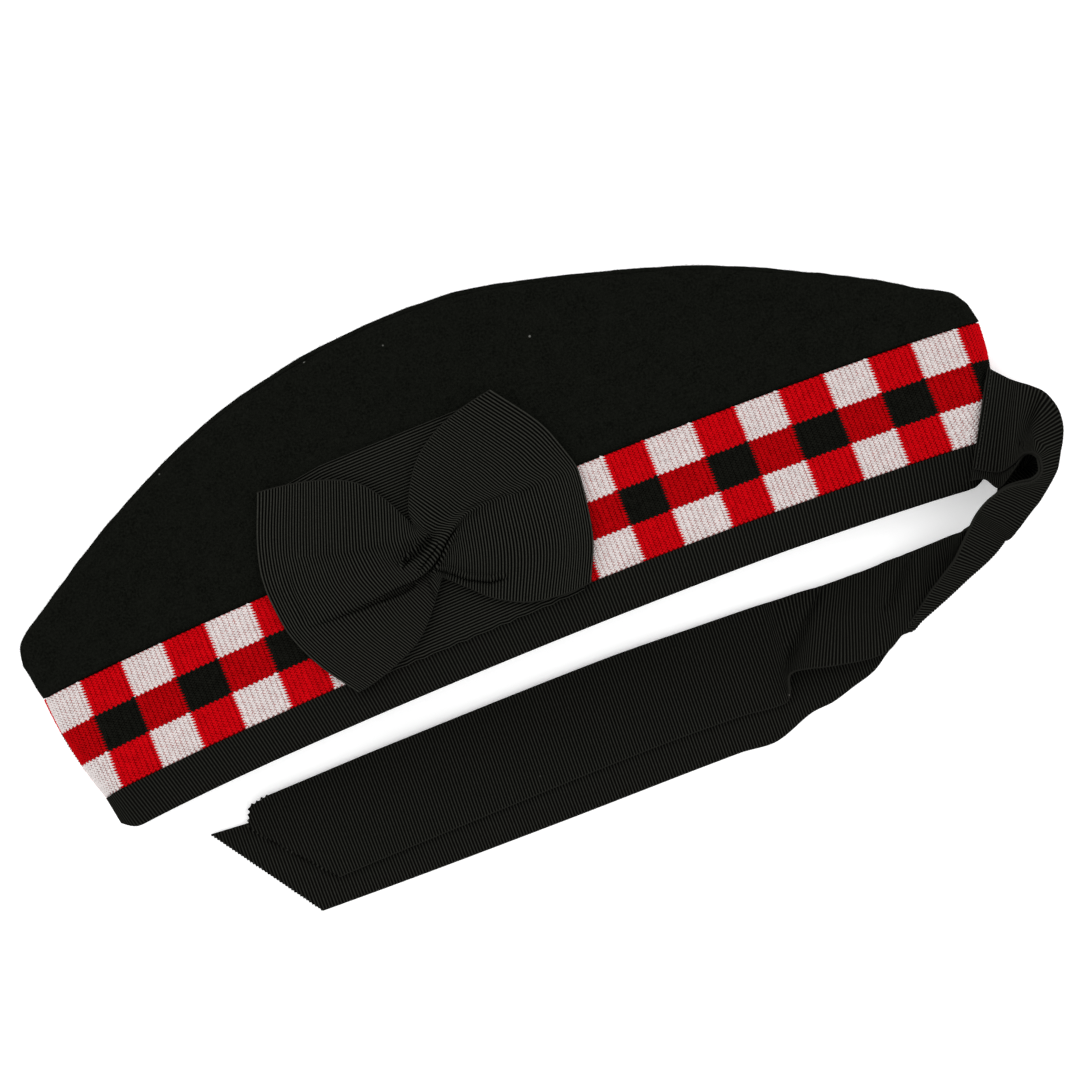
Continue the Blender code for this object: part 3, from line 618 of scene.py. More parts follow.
def feltOuterRing(turn, ring):
    level, below, folded, lift = ring
    share = turnShare(turn)
    taper = np.minimum(1.0, crown["endTaper"] * hump(share, 0.5))
    upper = np.where(np.sin(turn) > 1e-9, 1.0, 0.0)
    if level < 3:
        top = crown["ridgeRound"] * taper + crown["ridgeStep"] * taper * upper
        spread = np.full_like(turn, level)
        half = sideHeight(spread, share) / 2 * roundness(spread, share)
        return ridgePoint(turn, level, crownDepth(share, level, top), half)
    depth = below * crown["ridgeRound"] * taper + folded * crown["foldDepth"] * hump(share, 0.6)
    depth = depth + crown["ridgeStep"] * taper * (1 - lift) * upper
    spread = np.full_like(turn, 3.0)
    half = sideHeight(spread, share) / 2 * roundness(spread, share)
    return ridgePoint(turn, 3.0, depth, half * (1 - lift))


def feltInnerRing(turn, ring, part):
    level, below, folded, lift = ring
    share = turnShare(turn)
    spread = np.full_like(turn, 3.0)
    roundHere = roundness(spread, share)
    wall = crown["wall"] * roundHere
    foldDepth = crown["foldDepth"] * hump(share, 0.6)
    hollow = foldDepth > 3 * crown["wall"]
    taper = np.minimum(1.0, crown["endTaper"] * hump(share, 0.5))
    upper = np.where(np.sin(turn) > 1e-9, 1.0, 0.0)
    ceiling = np.where(hollow, crown["ridgeRound"], foldDepth + crown["wall"])

    def step(lift):
        return crown["ridgeStep"] * taper * (1 - lift) * upper

    if level < 3:
        own = np.full_like(turn, level)
        depth = crownDepth(share, level, ceiling + step(0.0))
        half = sideHeight(own, share) / 2 * roundHere
        point = ridgePoint(turn, level, depth, half - wall)
    else:
        half = sideHeight(spread, share) / 2 * roundHere
        if lift == 1.0:
            height, depth = np.zeros_like(turn), foldDepth + crown["wall"]
        elif folded > 0:
            height = half * (1 - lift) + wall
            depth = below * crown["ridgeRound"] + folded * foldDepth + step(lift)
        else:
            across = min(lift / crown["legLift"], 1.0)
            height = (half - wall) * (1 - across) + (half * (1 - crown["legLift"]) + wall) * across
            depth = crown["wall"] + below * (crown["ridgeRound"] - crown["wall"]) + step(lift)
        height = np.where(hollow, height, (half - wall) * (1 - part))
        depth = np.where(hollow, depth, ceiling + step(part))
        point = ridgePoint(turn, 3.0, depth, height)
    front, back = fromFolds(spread, share)
    near = 1 - np.clip(np.minimum(front, back) / (cap["foldHeight"] / 2), 0, 1)
    point[:, 0] += crown["wall"] * np.where(front < back, near, -near)
    return point


def feltCrown():
    turn = 2 * np.pi * np.arange(crown["turns"]) / crown["turns"]
    gap = cap["gap"]
    underBinding, underKnit = crown["bindingWall"] + gap, crown["knitWall"] + gap
    # level and inset under the binding and the band
    trim = [
        ((underBinding + gap) / cap["bindingHeight"], underBinding),
        (1 - 1.5 * gap / cap["bindingHeight"], underBinding),
        (1 - 0.5 * gap / cap["bindingHeight"], underKnit),
        (1.5, underKnit),
        (2.0, underKnit),
    ]
    outer = [insetPoint(turn, level, inset) for level, inset in trim]
    inner = [insetPoint(turn, level, inset + crown["wall"]) for level, inset in trim]
    rings = crown["rings"]
    first = [ring[0] for ring in rings].index(3.0)
    coarse = np.array([feltOuterRing(turn, ring) for ring in rings])
    setup = runSetup(coarse, levelOff=False)
    at = []
    for i, parts in enumerate(crown["ringParts"]):
        at += list(np.linspace(setup[1][i], setup[1][i + 1], parts, endpoint=False))
    fine = runAt(setup, np.array(at + [setup[1][-1]]))
    # the seam of the two sides stays where it is, and the rest is a little uneven
    normal = gridNormals(fine)
    lift = crown["lumps"] * softWaves(fine, crown["lumpSize"], 3)
    lift = lift + crown["sway"] * softWaves(fine, crown["swaySize"], 5)
    fade = np.clip((len(fine) - 1 - np.arange(len(fine))) / crown["seamRings"], 0, 1)[:, None]
    fine = fine + normal * (lift * fade)[..., None]
    fine[..., 2] = np.maximum(fine[..., 2], crown["aboveFloor"])
    trimmed = len(outer)
    outer += list(fine)
    for i, ring in enumerate(rings):
        part = max(0, i - first) / (len(rings) - 1 - first)
        inner.append(feltInnerRing(turn, ring, part))
    outer, inner = np.array(outer), np.array(inner)
    count = crown["turns"]
    faces = [gridQuads(len(outer), count, closedColumns=True)]
    size = len(outer) * count
    faces.append(gridQuads(len(inner), count, closedColumns=True)[:, ::-1] + size)
    k = np.arange(count)
    after = (k + 1) % count
    faces.append(np.stack([after, k, k + size, after + size], -1))
    points = np.concatenate([outer.reshape(-1, 3), inner.reshape(-1, 3)])
    # the felt gets a painted shade where each side bends over into the fold
    bend = trimmed + sum(crown["ringParts"][:crown["bendRing"]])
    above, below = crown["shadeFrom"]
    start = bend + np.where(np.sin(turn) > 1e-9, above, below)
    dark = np.clip((np.arange(len(outer))[:, None] - start[None]) / crown["shadeRings"], 0, 1)
    dark = np.concatenate([dark, np.zeros((len(inner), count))])
    uv = np.stack([dark, np.zeros_like(dark)], -1)
    made = clothObject("felt_crown_cloth", points, np.concatenate(faces), [feltCloth], uv=uv, merge=1e-6)
    return made, outer[trimmed:bend + crown["fuzzRings"]]


def feltFibres(grid):
    # short stray fibres that stand out of the felt, each one thin triangle
    grid = np.concatenate([grid, grid[:, :1]], axis=1)
    side, up = grid[:-1, 1:] - grid[:-1, :-1], grid[1:, :-1] - grid[:-1, :-1]
    cross = np.cross(side, up)
    area = np.linalg.norm(cross, axis=2)
    ridge = (np.arange(len(area)) >= len(area) - crown["ridgeRings"])[:, None]
    share = area * np.where(ridge, crown["ridgeFibres"], 1.0)
    count = int(share.sum() * 1e6 * crown["fibresPerMm"])
    spot = dice.choice(area.size, count, p=(share / share.sum()).ravel())
    row, column = np.divmod(spot, area.shape[1])
    s, t = dice.random((2, count, 1))
    at = (grid[row, column] * (1 - s) * (1 - t) + grid[row, column + 1] * s * (1 - t)
          + grid[row + 1, column] * (1 - s) * t + grid[row + 1, column + 1] * s * t)
    normal = cross[row, column] / np.maximum(area[row, column], 1e-12)[:, None]
    outward = at - np.array(crown["insideCap"])
    normal = np.where((outward * normal).sum(axis=1, keepdims=True) < 0, -normal, normal)
    way = dice.normal(0, 1, (count, 3))
    way -= normal * (way * normal).sum(axis=1, keepdims=True)
    way = way / np.linalg.norm(way, axis=1, keepdims=True)
    way = way + normal * dice.uniform(*crown["fibreSlopes"], (count, 1))
    way /= np.linalg.norm(way, axis=1, keepdims=True)
    across = np.cross(way, normal)
    across = across / np.linalg.norm(across, axis=1, keepdims=True) * crown["fibreWidth"]
    across = across * np.where(row >= len(area) - crown["ridgeRings"], crown["ridgeWidth"], 1.0)[:, None]
    tip = at + way * dice.uniform(*crown["fibreLengths"], (count, 1))
    points = np.stack([at - across, at + across, tip], 1)
    points[..., 2] = np.maximum(points[..., 2], crown["fibreAboveFloor"])
    faces = np.arange(3 * count).reshape(-1, 3)
    return clothObject("felt_fibres", points, faces, [feltCloth], uv=np.zeros((3 * count, 2)))


feltPiece, feltGrid = feltCrown()
feltFuzz = feltFibres(feltGrid)
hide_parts("felt_crown")
print("the felt crown is made")

# the knitted band

knit = {
    "wall": 0.0016,
    "backing": 0.00062,
    "columns": 44,
    "walesPerColumn": 9,
    "courses": 39,
    # where the squares meet on the upper side, counted along the cap from the crown's front tip
    "edges": [
        0.0138, 0.0281, 0.0419, 0.0565, 0.0718, 0.0866, 0.1014, 0.1162, 0.1311, 0.1459, 0.1607,
        0.1755, 0.1903, 0.2039, 0.2195, 0.2338, 0.2479, 0.2631, 0.2774, 0.2919, 0.3066,
    ],
    "wale": 0.00160,
    "course": 0.00090,
    # first and last level at which the wales are laid out, and how many there are
    "planLevels": (0.99, 2.01, 22),
    "legRise": 0.00060,
    "legHalfWidth": 0.00034,
    "legStart": (-0.02, 0.96),
    "legEnd": (0.66, 0.05),
    "legOffset": 0.25,
    # corners of a leg: along it, across it and up
    "legCorners": [
        (0, 0, 0.3), (0.24, -1, 0.1), (0.24, 1, 0.1), (0.74, -1, 0.1), (0.74, 1, 0.1), (1, 0, 0.1),
        (0.26, 0, 1), (0.72, 0, 0.8),
    ],
    "legFaces": [(0, 2, 6), (0, 6, 1), (1, 6, 7, 3), (6, 2, 4, 7), (3, 7, 5), (7, 4, 5)],
    "legSunk": 0.00002,
    "widthSpread": (0.76, 1.08),
    "riseSpread": (0.90, 1.10),
    # the legs on both sides of a square's edge: how far they reach, fall and stand up, in shares
    "edgeReach": 0.65,
    "edgeSpread": (0.75, 1.15),
    "edgeFall": 0.25,
    "edgeRise": 1.2,
    "edgeWider": (0.40, -0.35),
    "firstReach": 0.34,
    "firstRise": 0.75,
    "uneven": 0.03,
    "backingPerColumn": 6,
    "backingRows": 13,
    # how far the backing goes past the stitches, in courses
    "backingPast": 0.25,
    # the yarn behind the stitches is darker than the yarn of the stitches, as painted shade between them;
    # the red tint behind the white squares is the real red floats
    "behind": [
        ("yarn behind the white squares", (0.46, 0.22, 0.21)),
        ("yarn behind the red squares", (0.20, 0.0008, 0.0018)),
        ("yarn behind the middle red squares", (0.13, 0.0006, 0.0012)),
        ("yarn behind the black squares", (0.0036, 0.0034, 0.0027)),
    ],
}
wales = knit["columns"] * knit["walesPerColumn"]
footLevel = 1 + 0.5 * cap["gap"] / cap["bandHeight"]
topLevel = 2 - cap["gap"] / cap["bandHeight"]


def walePlan():
    # the turn round the cap of every wale, at a number of levels
    levels = np.linspace(*knit["planLevels"])
    turns = np.linspace(0, 2 * np.pi, 4001)
    table = []
    for level in levels:
        line = skinPoint(turns, level)
        run = np.concatenate([[0], np.cumsum(np.linalg.norm(np.diff(line, axis=0), axis=1))])
        upper = turns <= np.pi
        marks = np.interp(knit["edges"], line[upper, 0], run[upper])
        counts = knit["walesPerColumn"] * np.arange(len(marks))
        counts = np.append(counts, wales)
        marks = np.append(marks, marks[0] + run[-1])
        at = np.interp(np.arange(wales * 2 + 1) / 2, counts, marks)
        table.append(np.interp(at % run[-1], run, turns) + 2 * np.pi * (at // run[-1]))
    return levels, np.array(table)


planLevels, planTurns = walePlan()


def bandPoint(wale, course, inset):
    # a place in the knitting, by its wale and course
    level = footLevel + (topLevel - footLevel) * course / knit["courses"]
    wale = np.asarray(wale, float)
    laps = np.floor(wale / wales)
    at = (wale - laps * wales) * 2
    i = np.clip(np.floor(at).astype(int), 0, planTurns.shape[1] - 2)
    s = at - i
    row = np.clip((level - planLevels[0]) / (planLevels[1] - planLevels[0]), 0, len(planLevels) - 1.001)
    j = np.floor(row).astype(int)
    r = row - j
    turn = ((planTurns[j, i] * (1 - s) + planTurns[j, i + 1] * s) * (1 - r)
            + (planTurns[j + 1, i] * (1 - s) + planTurns[j + 1, i + 1] * s) * r)
    return insetPoint(turn + 2 * np.pi * laps, level, inset)


def squareColour(wale, course):
    # 0 white, 1 red, 2 the middle row's red, 3 black
    column = np.floor(np.asarray(wale) / knit["walesPerColumn"]).astype(int) % knit["columns"]
    row = np.clip(np.floor(np.asarray(course) * 3 / knit["courses"]), 0, 2).astype(int)
    odd = column % 2
    return np.where(row == 1, np.where(odd == 1, 2, 3), np.where(odd == 1, 0, 1))


def bandBacking():
    per, last = knit["backingPerColumn"], knit["backingRows"] - 1
    wale = np.arange(knit["columns"] * per) * knit["walesPerColumn"] / per
    course = np.linspace(0, knit["courses"], knit["backingRows"])
    course[0] -= knit["backingPast"]
    course[-1] += knit["backingPast"]
    w, c = np.meshgrid(wale, course)
    outer = bandPoint(w, c, knit["backing"])
    inner = bandPoint(w, c, knit["wall"])[::-1]
    rows = np.concatenate([outer, inner])
    faces = gridQuads(len(rows), len(wale), closedRows=True, closedColumns=True)
    # every face behind the outer ones is red
    row = np.arange(len(rows))[:, None]
    behind = squareColour(wale[None] + 0.5, course[np.minimum(row, last - 1)] + 0.5)
    picks = np.where(row < last, behind, 1)
    ground = [yarnMaterial(name, colour, yarnLook) for name, colour in knit["behind"]]
    return clothObject("diced_band_backing", rows, faces, ground, picks=picks.ravel())


def stitchLegs(name, kinds, materials):
    wale, course = np.meshgrid(np.arange(wales), np.arange(knit["courses"]), indexing="ij")
    colour = squareColour(wale + 0.5, course + 0.5)
    keep = np.isin(colour, kinds)
    wale, course, colour = wale[keep], course[keep], colour[keep]
    jolt = knit["uneven"]
    points, faces, picks = [], [], []
    for side in (-1.0, 1.0):
        # the two legs of a stitch spread downwards, and sit half a course apart
        count = len(wale)
        spike = np.zeros(count)
        offset = knit["legOffset"] * side
        (startX, startY), (endX, endY) = knit["legStart"], knit["legEnd"]
        start = np.stack([wale + 0.5 + side * startX, course + startY + offset], -1)
        end = np.stack([wale + 0.5 + side * endX, course + endY + offset], -1)
        start += dice.normal(0, jolt, start.shape)
        end += dice.normal(0, jolt, end.shape)
        halfWidth = knit["legHalfWidth"] * dice.uniform(*knit["widthSpread"], count)
        rise = knit["legRise"] * dice.uniform(*knit["riseSpread"], count)
        if side > 0:
            # at the edge of a square this leg reaches over the next square
            last = wale % knit["walesPerColumn"] == knit["walesPerColumn"] - 1
            end[last, 0] += knit["edgeReach"] * dice.uniform(*knit["edgeSpread"], last.sum())
            end[last, 1] += knit["edgeFall"]
            rise[last] *= knit["edgeRise"]
            spike = np.where(last, 1.0, 0.0)
        else:
            first = wale % knit["walesPerColumn"] == 0
            end[first, 0] += knit["firstReach"]
            rise[first] *= knit["firstRise"]
        way = end - start
        size = np.array([knit["wale"], knit["course"]])
        real = way * size
        real /= np.linalg.norm(real, axis=1, keepdims=True)
        across = np.stack([-real[:, 1], real[:, 0]], -1) * halfWidth[:, None] / size
        corners = []
        for along, sideways, up in knit["legCorners"]:
            wider = 1 + spike * knit["edgeWider"][0 if along < 0.5 else 1]
            place = start + way * along + across * sideways * wider[:, None]
            inset = knit["backing"] - rise * up + knit["legSunk"]
            corners.append(bandPoint(place[:, 0], place[:, 1], inset))
        points.append(np.stack(corners, 1).reshape(-1, 3))
        before = len(points[0]) if side > 0 else 0
        firstCorner = before + len(corners) * np.arange(count)[:, None]
        for face in knit["legFaces"]:
            faces += (firstCorner + np.array(face)[None]).tolist()
            picks += [kinds.index(c) for c in colour]
    return clothObject(name, np.concatenate(points), faces, materials, picks=picks)


backing = bandBacking()
whiteStitches = stitchLegs("white_stitches", [0], [whiteYarn])
redStitches = stitchLegs("red_stitches", [1, 2], [redYarn, deepRedYarn])
blackStitches = stitchLegs("black_stitches", [3], [blackYarn])
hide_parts("diced_band")
print("the diced band is knitted")

# ribbons

grosgrain = {
    "wall": 0.00060,
    "ribHeight": 0.00020,
    "edgeBead": 0.00010,
    "beadWidth": 0.0004,
    # the ribs get flatter near the ribbon's edge, and over the stretch that is sewn down
    "edgeFade": 0.0005,
    "edgeRibs": 0.2,
    "hemFade": 0.8,
    "hemRibs": 0.12,
    "edgeColumns": [0, 0.0005, 0.0011],
    "rowsBeforeCut": 4,
    "tailPitch": 0.00096,
    "bindingPitch": 0.00103,
    "rosettePitch": 0.00092,
}


def ribShape(count):
    return np.abs(np.cos(np.pi * count))


def ribbonObject(name, grid, ribs, across, width, material, extra=None, cut=None, hem=-1.0):
    # ribs is the rib count at each row, across the place of each column in the width, and hem
    # the count up to which the ribs are pressed flat
    normal = gridNormals(grid)
    count = np.broadcast_to(ribs[:, None], grid.shape[:2])
    toEdge = np.minimum(across, width - across)
    fade = np.clip(toEdge / grosgrain["edgeFade"], grosgrain["edgeRibs"], 1.0)
    pressed = np.clip((count - hem) / grosgrain["hemFade"], grosgrain["hemRibs"], 1.0)
    merge = 0.0
    if cut is not None:
        # past the cut every point of a column sits on the cut itself
        count, past = cut
        row = past.argmax(axis=0) - grosgrain["rowsBeforeCut"]
        facing = np.sign(normal[row, np.arange(len(across)), 2])
        normal = np.where(past[..., None], facing[None, :, None] * np.array([0, 0, 1.0]), normal)
        merge = 1e-6
    half = grosgrain["wall"] / 2 + grosgrain["ribHeight"] * (ribShape(count) - 0.5) * fade[None] * pressed
    half = half + grosgrain["edgeBead"] * np.exp(-(toEdge / grosgrain["beadWidth"]) ** 2)[None]
    upper, lower = grid + normal * half[..., None], grid - normal * half[..., None]
    points, faces = closedSheet(upper, lower)
    uv = np.stack(np.broadcast_arrays(across[None, :], count), -1).reshape(-1, 2)
    uv = np.concatenate([uv, uv])
    faces = faces.tolist()
    if extra is not None:
        before = len(points)
        points = np.concatenate([points, extra[0]])
        uv = np.concatenate([uv, extra[2]])
        faces += [[i + before for i in face] for face in extra[1]]
    return clothObject(name, points, faces, [material], uv=uv, merge=merge)


def ribbonRun(setup, pitch, perRib=4):
    # rows at even parts of a rib along the run, and the rib count at each
    dense = np.linspace(0, setup[1][-1], 6000)
    rows = runAt(setup, dense)
    steps = np.linalg.norm(np.diff(rows, axis=0), axis=2).mean(axis=1)
    run = np.concatenate([[0], np.cumsum(steps)])
    ribs = round(run[-1] / pitch)
    count = np.arange(ribs * perRib + 1) / perRib
    at = np.interp(count * run[-1] / ribs, run, dense)
    return runAt(setup, at), count


# the binding round the brim

binding = {
    "wall": 0.0012,
    "width": 0.0270,
    "plainTo": 0.0255,
    "insideHeight": 0.0115,
    "perRib": 4,
    "ribHeight": 0.00016,
    "lean": 0.0024,
}
bindingRibbon = ribbonMaterial("binding grosgrain", ribbonLook, binding["width"], 0.85, 1.1)


def brimBinding():
    gap, wall, high = cap["gap"], binding["wall"], cap["bindingHeight"]
    top = 1 - gap / 2 / high
    inner = wall + gap + crown["wall"] + gap
    inside = binding["insideHeight"] / high
    corner, trough = wall / 2 / high, wall / high
    # level and inset of the ribbon's section: down the outside, round the edge and up the inside,
    # then back between its two layers
    profile = [(top, wall * 0.75), (top, 0.10 * wall), (top - 0.02, -0.00003), (top - 0.05, -0.00002)]
    profile += [(top - (top - corner) * k / 6, 0.0) for k in range(1, 7)]
    profile += [(corner * 0.35, wall * 0.22), (0.0, wall / 2), (-0.01, (wall + inner) / 2)]
    profile += [(0.0, inner + wall / 2), (corner * 0.35, inner + wall * 0.8)]
    profile += [(corner, inner + wall)] + [(inside * k / 4, inner + wall) for k in (1, 2, 3, 4)]
    profile += [(inside, inner + 0.3 * wall), (inside * 0.5, inner), (trough, inner), (trough, wall)]
    profile += [(0.5, wall)]
    turns = np.linspace(0, 2 * np.pi, 6001)
    line = skinPoint(turns, 0.5)
    run = np.concatenate([[0], np.cumsum(np.linalg.norm(np.diff(line, axis=0), axis=1))])
    ribs = round(run[-1] / grosgrain["bindingPitch"])
    count = np.arange(ribs * binding["perRib"]) / binding["perRib"]
    place = count * run[-1] / ribs
    # the ribs lean a little to the back, more towards the brim's edge
    lean = binding["lean"] * np.clip(4 * np.sin(np.interp(place, run, turns)), -1, 1)
    rows, uv = [], []
    outside = 12
    between = len(profile) - 4
    across = 0.0
    for i, (level, inset) in enumerate(profile):
        ribbed = binding["ribHeight"] * (1 - ribShape(count))
        facing = 1.0 if i < outside else -1.0 if i < between else 0.0
        fade = 0.35 if i < 2 else 1.0
        turn = np.interp((place + lean * (0.5 - level)) % run[-1], run, turns)
        rows.append(insetPoint(turn, level, inset + ribbed * facing * fade))
        if i:
            across += abs(level - profile[i - 1][0]) * high + abs(inset - profile[i - 1][1])
        uv.append(np.stack([np.full_like(count, min(across, binding["plainTo"])), count], -1))
    faces = gridQuads(len(rows), len(place), closedRows=True, closedColumns=True)
    return clothObject("brim_binding_ribbon", np.array(rows), faces, [bindingRibbon],
                       uv=np.array(uv).reshape(-1, 2))


bindingPiece = brimBinding()
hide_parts("brim_binding")
print("the binding is on")

# the flat base of the bow

base = {
    "width": 0.0770,
    "height": 0.0680,
    "columns": 26,
    "sideColumns": 0.003,
    "perRib": 4,
    # how much lower the upper edge runs at its left and right corner, and along what length
    "cornerDrops": [(0.0020, 0.0150), (0.0050, 0.0125)],
    "footRises": (0.0005, 0.0011),
    "footWaves": (0.00025, 900),
    "footRibs": 3,
    "aboveCap": 0.0004,
}
baseRibbon = ribbonMaterial("base grosgrain", ribbonLook, base["width"], 1.24, 0.7)


def rosetteBase():
    ribs = round(base["height"] / grosgrain["rosettePitch"])
    count = np.arange(ribs * base["perRib"] + 1) / base["perRib"]
    edge = np.array(grosgrain["edgeColumns"])
    inner = np.linspace(base["sideColumns"], base["width"] - base["sideColumns"], base["columns"])
    across = np.concatenate([edge, inner, base["width"] - edge[::-1]])
    x = cap["baseFromFront"] + across[None] + np.zeros((len(count), 1))
    y = cap["baseAboveBinding"] + base["height"] * (count / ribs)[:, None] + np.zeros((1, len(across)))
    # the upper edge runs lower at its two corners, under the bow
    drop = 0.0
    for (depth, length), away in zip(base["cornerDrops"], (across, base["width"] - across)):
        drop = drop + depth * np.clip(1 - away / length, 0, 1)
    leftRise, moreRise = base["footRises"]
    y = y + (leftRise + moreRise * across / base["width"])[None] * (1 - count / ribs)[:, None]
    y = y - drop[None] * np.clip((count / ribs - 0.5) / 0.5, 0, 1)[:, None]
    # the lower edge runs a little hollow between its stitches
    hollow, waves = base["footWaves"]
    y = y + hollow * np.sin(x * waves) * np.clip(1 - count / base["footRibs"], 0, 1)[:, None]
    z = topHeight(x, y) + cap["gap"] + base["aboveCap"]
    grid = np.stack([x, y, z], -1)
    return ribbonObject("rosette_base_ribbon", grid, count, across, base["width"], baseRibbon)


basePiece = rosetteBase()
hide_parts("rosette_base")
print("the base of the bow is sewn on")

# the bow: one wide ribbon, gathered in its middle

bow = {
    "width": 0.0710,
    "columns": 92,
    # shares of the width where the columns stand closer, for the creases
    "closer": [(0.37, 0.03, 1.5), (0.665, 0.05, 1.5), (0.93, 0.05, 2.0)],
    "kinkMarks": [1, 4, 5],
    "perRib": 4,
    # the drawing of the bow: its unit in metres, its turn and its upper left corner on the cap
    "unit": 0.0000731507,
    "turn": math.radians(22),
    "corner": (0.0954132, 0.1045178),
    "aboveBase": 0.0011,
    "lumps": 0.00010,
    "lumpSizes": (0.012, 0.03),
    "lowest": 0.0007,
    "turnedBelow": 0.0008,
    "leastStep": 0.0006,
    "steepest": 2.5,
    # how far out and down the turned ends go, then in and down under them
    "endTurn": [(-0.0002, -0.0005), (0.0010, -0.0008)],
    "creaseFade": 0.18,
    "creaseReach": 4,
    "kinkFade": (22, 0.25, 0.9),
    "sideColumns": 0.002,
    "underShare": 0.985,
    "underColumns": 15,
    "underPerRib": 2,
    # creases in the drawing: depth, half width and lip in millimetres, then right and down
    "creases": [
        (2.6, 0.50, 2.6, [(690, 800), (736, 742), (772, 702), (812, 664)]),
        (2.4, 0.45, 1.6, [(912, 632), (884, 672), (862, 712), (836, 765), (802, 812)]),
        (1.6, 0.35, 0.6, [(762, 812), (790, 770), (822, 728), (846, 690)]),
        (2.0, 0.60, 0.8, [(748, 862), (706, 893), (664, 912), (604, 934)]),
        (0.7, 0.50, 0.3, [(640, 920), (520, 968), (400, 1012), (300, 1046)]),
        (-0.90, 0.45, 0.0, [(750, 680), (620, 700), (460, 730), (330, 745), (250, 752)]),
        (1.7, 0.50, 1.5, [(818, 800), (880, 815), (960, 845), (1060, 858), (1130, 840)]),
        (0.55, 0.50, 0.3, [(920, 572), (1000, 530), (1100, 492), (1180, 478), (1300, 432)]),
        (1.0, 0.60, 0.3, [(800, 852), (822, 900), (836, 960)]),
        (0.6, 1.10, 0.2, [(300, 1030), (270, 980), (235, 900), (212, 810)]),
        (0.30, 0.70, 0.2, [(700, 560), (735, 610), (780, 640), (830, 655)]),
    ],
    # ribs from the front end through the middle to the back end. Each goes from the upper edge
    # over the creases to the lower edge: right, down and height in tenths of a millimetre
    "ribs": [
        [(80, 475, 8), (83, 740, 8), (95, 820, 8), (120, 900, 8), (200, 1055, 8), (207, 1066, 8),
         (345, 1208, 8), (510, 1320, 8)],
        [(150, 455, 10), (150, 745, 14), (165, 822, 15), (188, 893, 16), (262, 1040, 16),
         (268, 1050, 14), (398, 1180, 14), (555, 1295, 9)],
        [(265, 432, 12), (268, 747, 20), (288, 815, 22), (312, 880, 27), (390, 1003, 29),
         (394, 1010, 18), (503, 1120, 20), (645, 1225, 11)],
        [(420, 424, 14), (430, 733, 24), (452, 790, 28), (480, 845, 40), (560, 935, 43),
         (560, 928, 18), (640, 1030, 25), (748, 1120, 13)],
        [(530, 450, 15), (545, 712, 25), (568, 760, 30), (597, 808, 45), (660, 884, 48),
         (650, 876, 12), (722, 965, 26), (795, 1035, 14)],
        [(630, 518, 16), (640, 690, 26), (668, 765, 20), (698, 800, 44), (742, 845, 50),
         (722, 846, 10), (785, 900, 26), (825, 945, 16)],
        [(695, 580, 18), (708, 668, 30), (740, 745, 6), (768, 768, 46), (800, 800, 52),
         (784, 815, 12), (818, 850, 28), (843, 890, 20)],
        [(738, 622, 20), (762, 655, 32), (800, 690, 8), (825, 705, 48), (850, 735, 52),
         (838, 765, 14), (846, 802, 26), (858, 842, 22)],
        [(716, 545, 22), (785, 612, 32), (830, 635, 26), (862, 640, 44), (893, 650, 48),
         (888, 672, 22), (893, 765, 30), (880, 845, 20)],
        [(722, 450, 22), (850, 535, 28), (880, 558, 28), (905, 575, 40), (945, 580, 42),
         (940, 592, 24), (965, 760, 30), (965, 880, 18)],
        [(750, 340, 18), (935, 462, 26), (965, 487, 28), (995, 505, 35), (1045, 525, 36),
         (1044, 534, 24), (1075, 740, 26), (1075, 925, 16)],
        [(820, 228, 16), (1045, 385, 24), (1080, 415, 25), (1115, 445, 29), (1175, 477, 29),
         (1177, 484, 21), (1230, 720, 22), (1220, 943, 13)],
        [(905, 145, 13), (1140, 305, 18), (1180, 337, 20), (1220, 375, 21), (1290, 425, 21),
         (1296, 433, 18), (1360, 690, 17), (1345, 918, 11)],
        [(985, 88, 10), (1210, 235, 12), (1250, 268, 13), (1295, 312, 13), (1370, 390, 13),
         (1376, 398, 12), (1435, 670, 12), (1425, 890, 9)],
        [(1055, 45, 8), (1265, 185, 8), (1305, 222, 8), (1350, 275, 8), (1425, 375, 8),
         (1429, 385, 8), (1490, 660, 8), (1482, 862, 8)],
    ],
}
bowRibbon = ribbonMaterial("bow grosgrain", ribbonLook, bow["width"], 1.32, 0.5)


def bowPlace(right, down):
    # from the bow's own drawing, turned by its angle, to the cap's length and height
    c, s = math.cos(bow["turn"]), math.sin(bow["turn"])
    cornerX, cornerY = bow["corner"]
    return cornerX + bow["unit"] * (right * c - down * s), cornerY - bow["unit"] * (right * s + down * c)


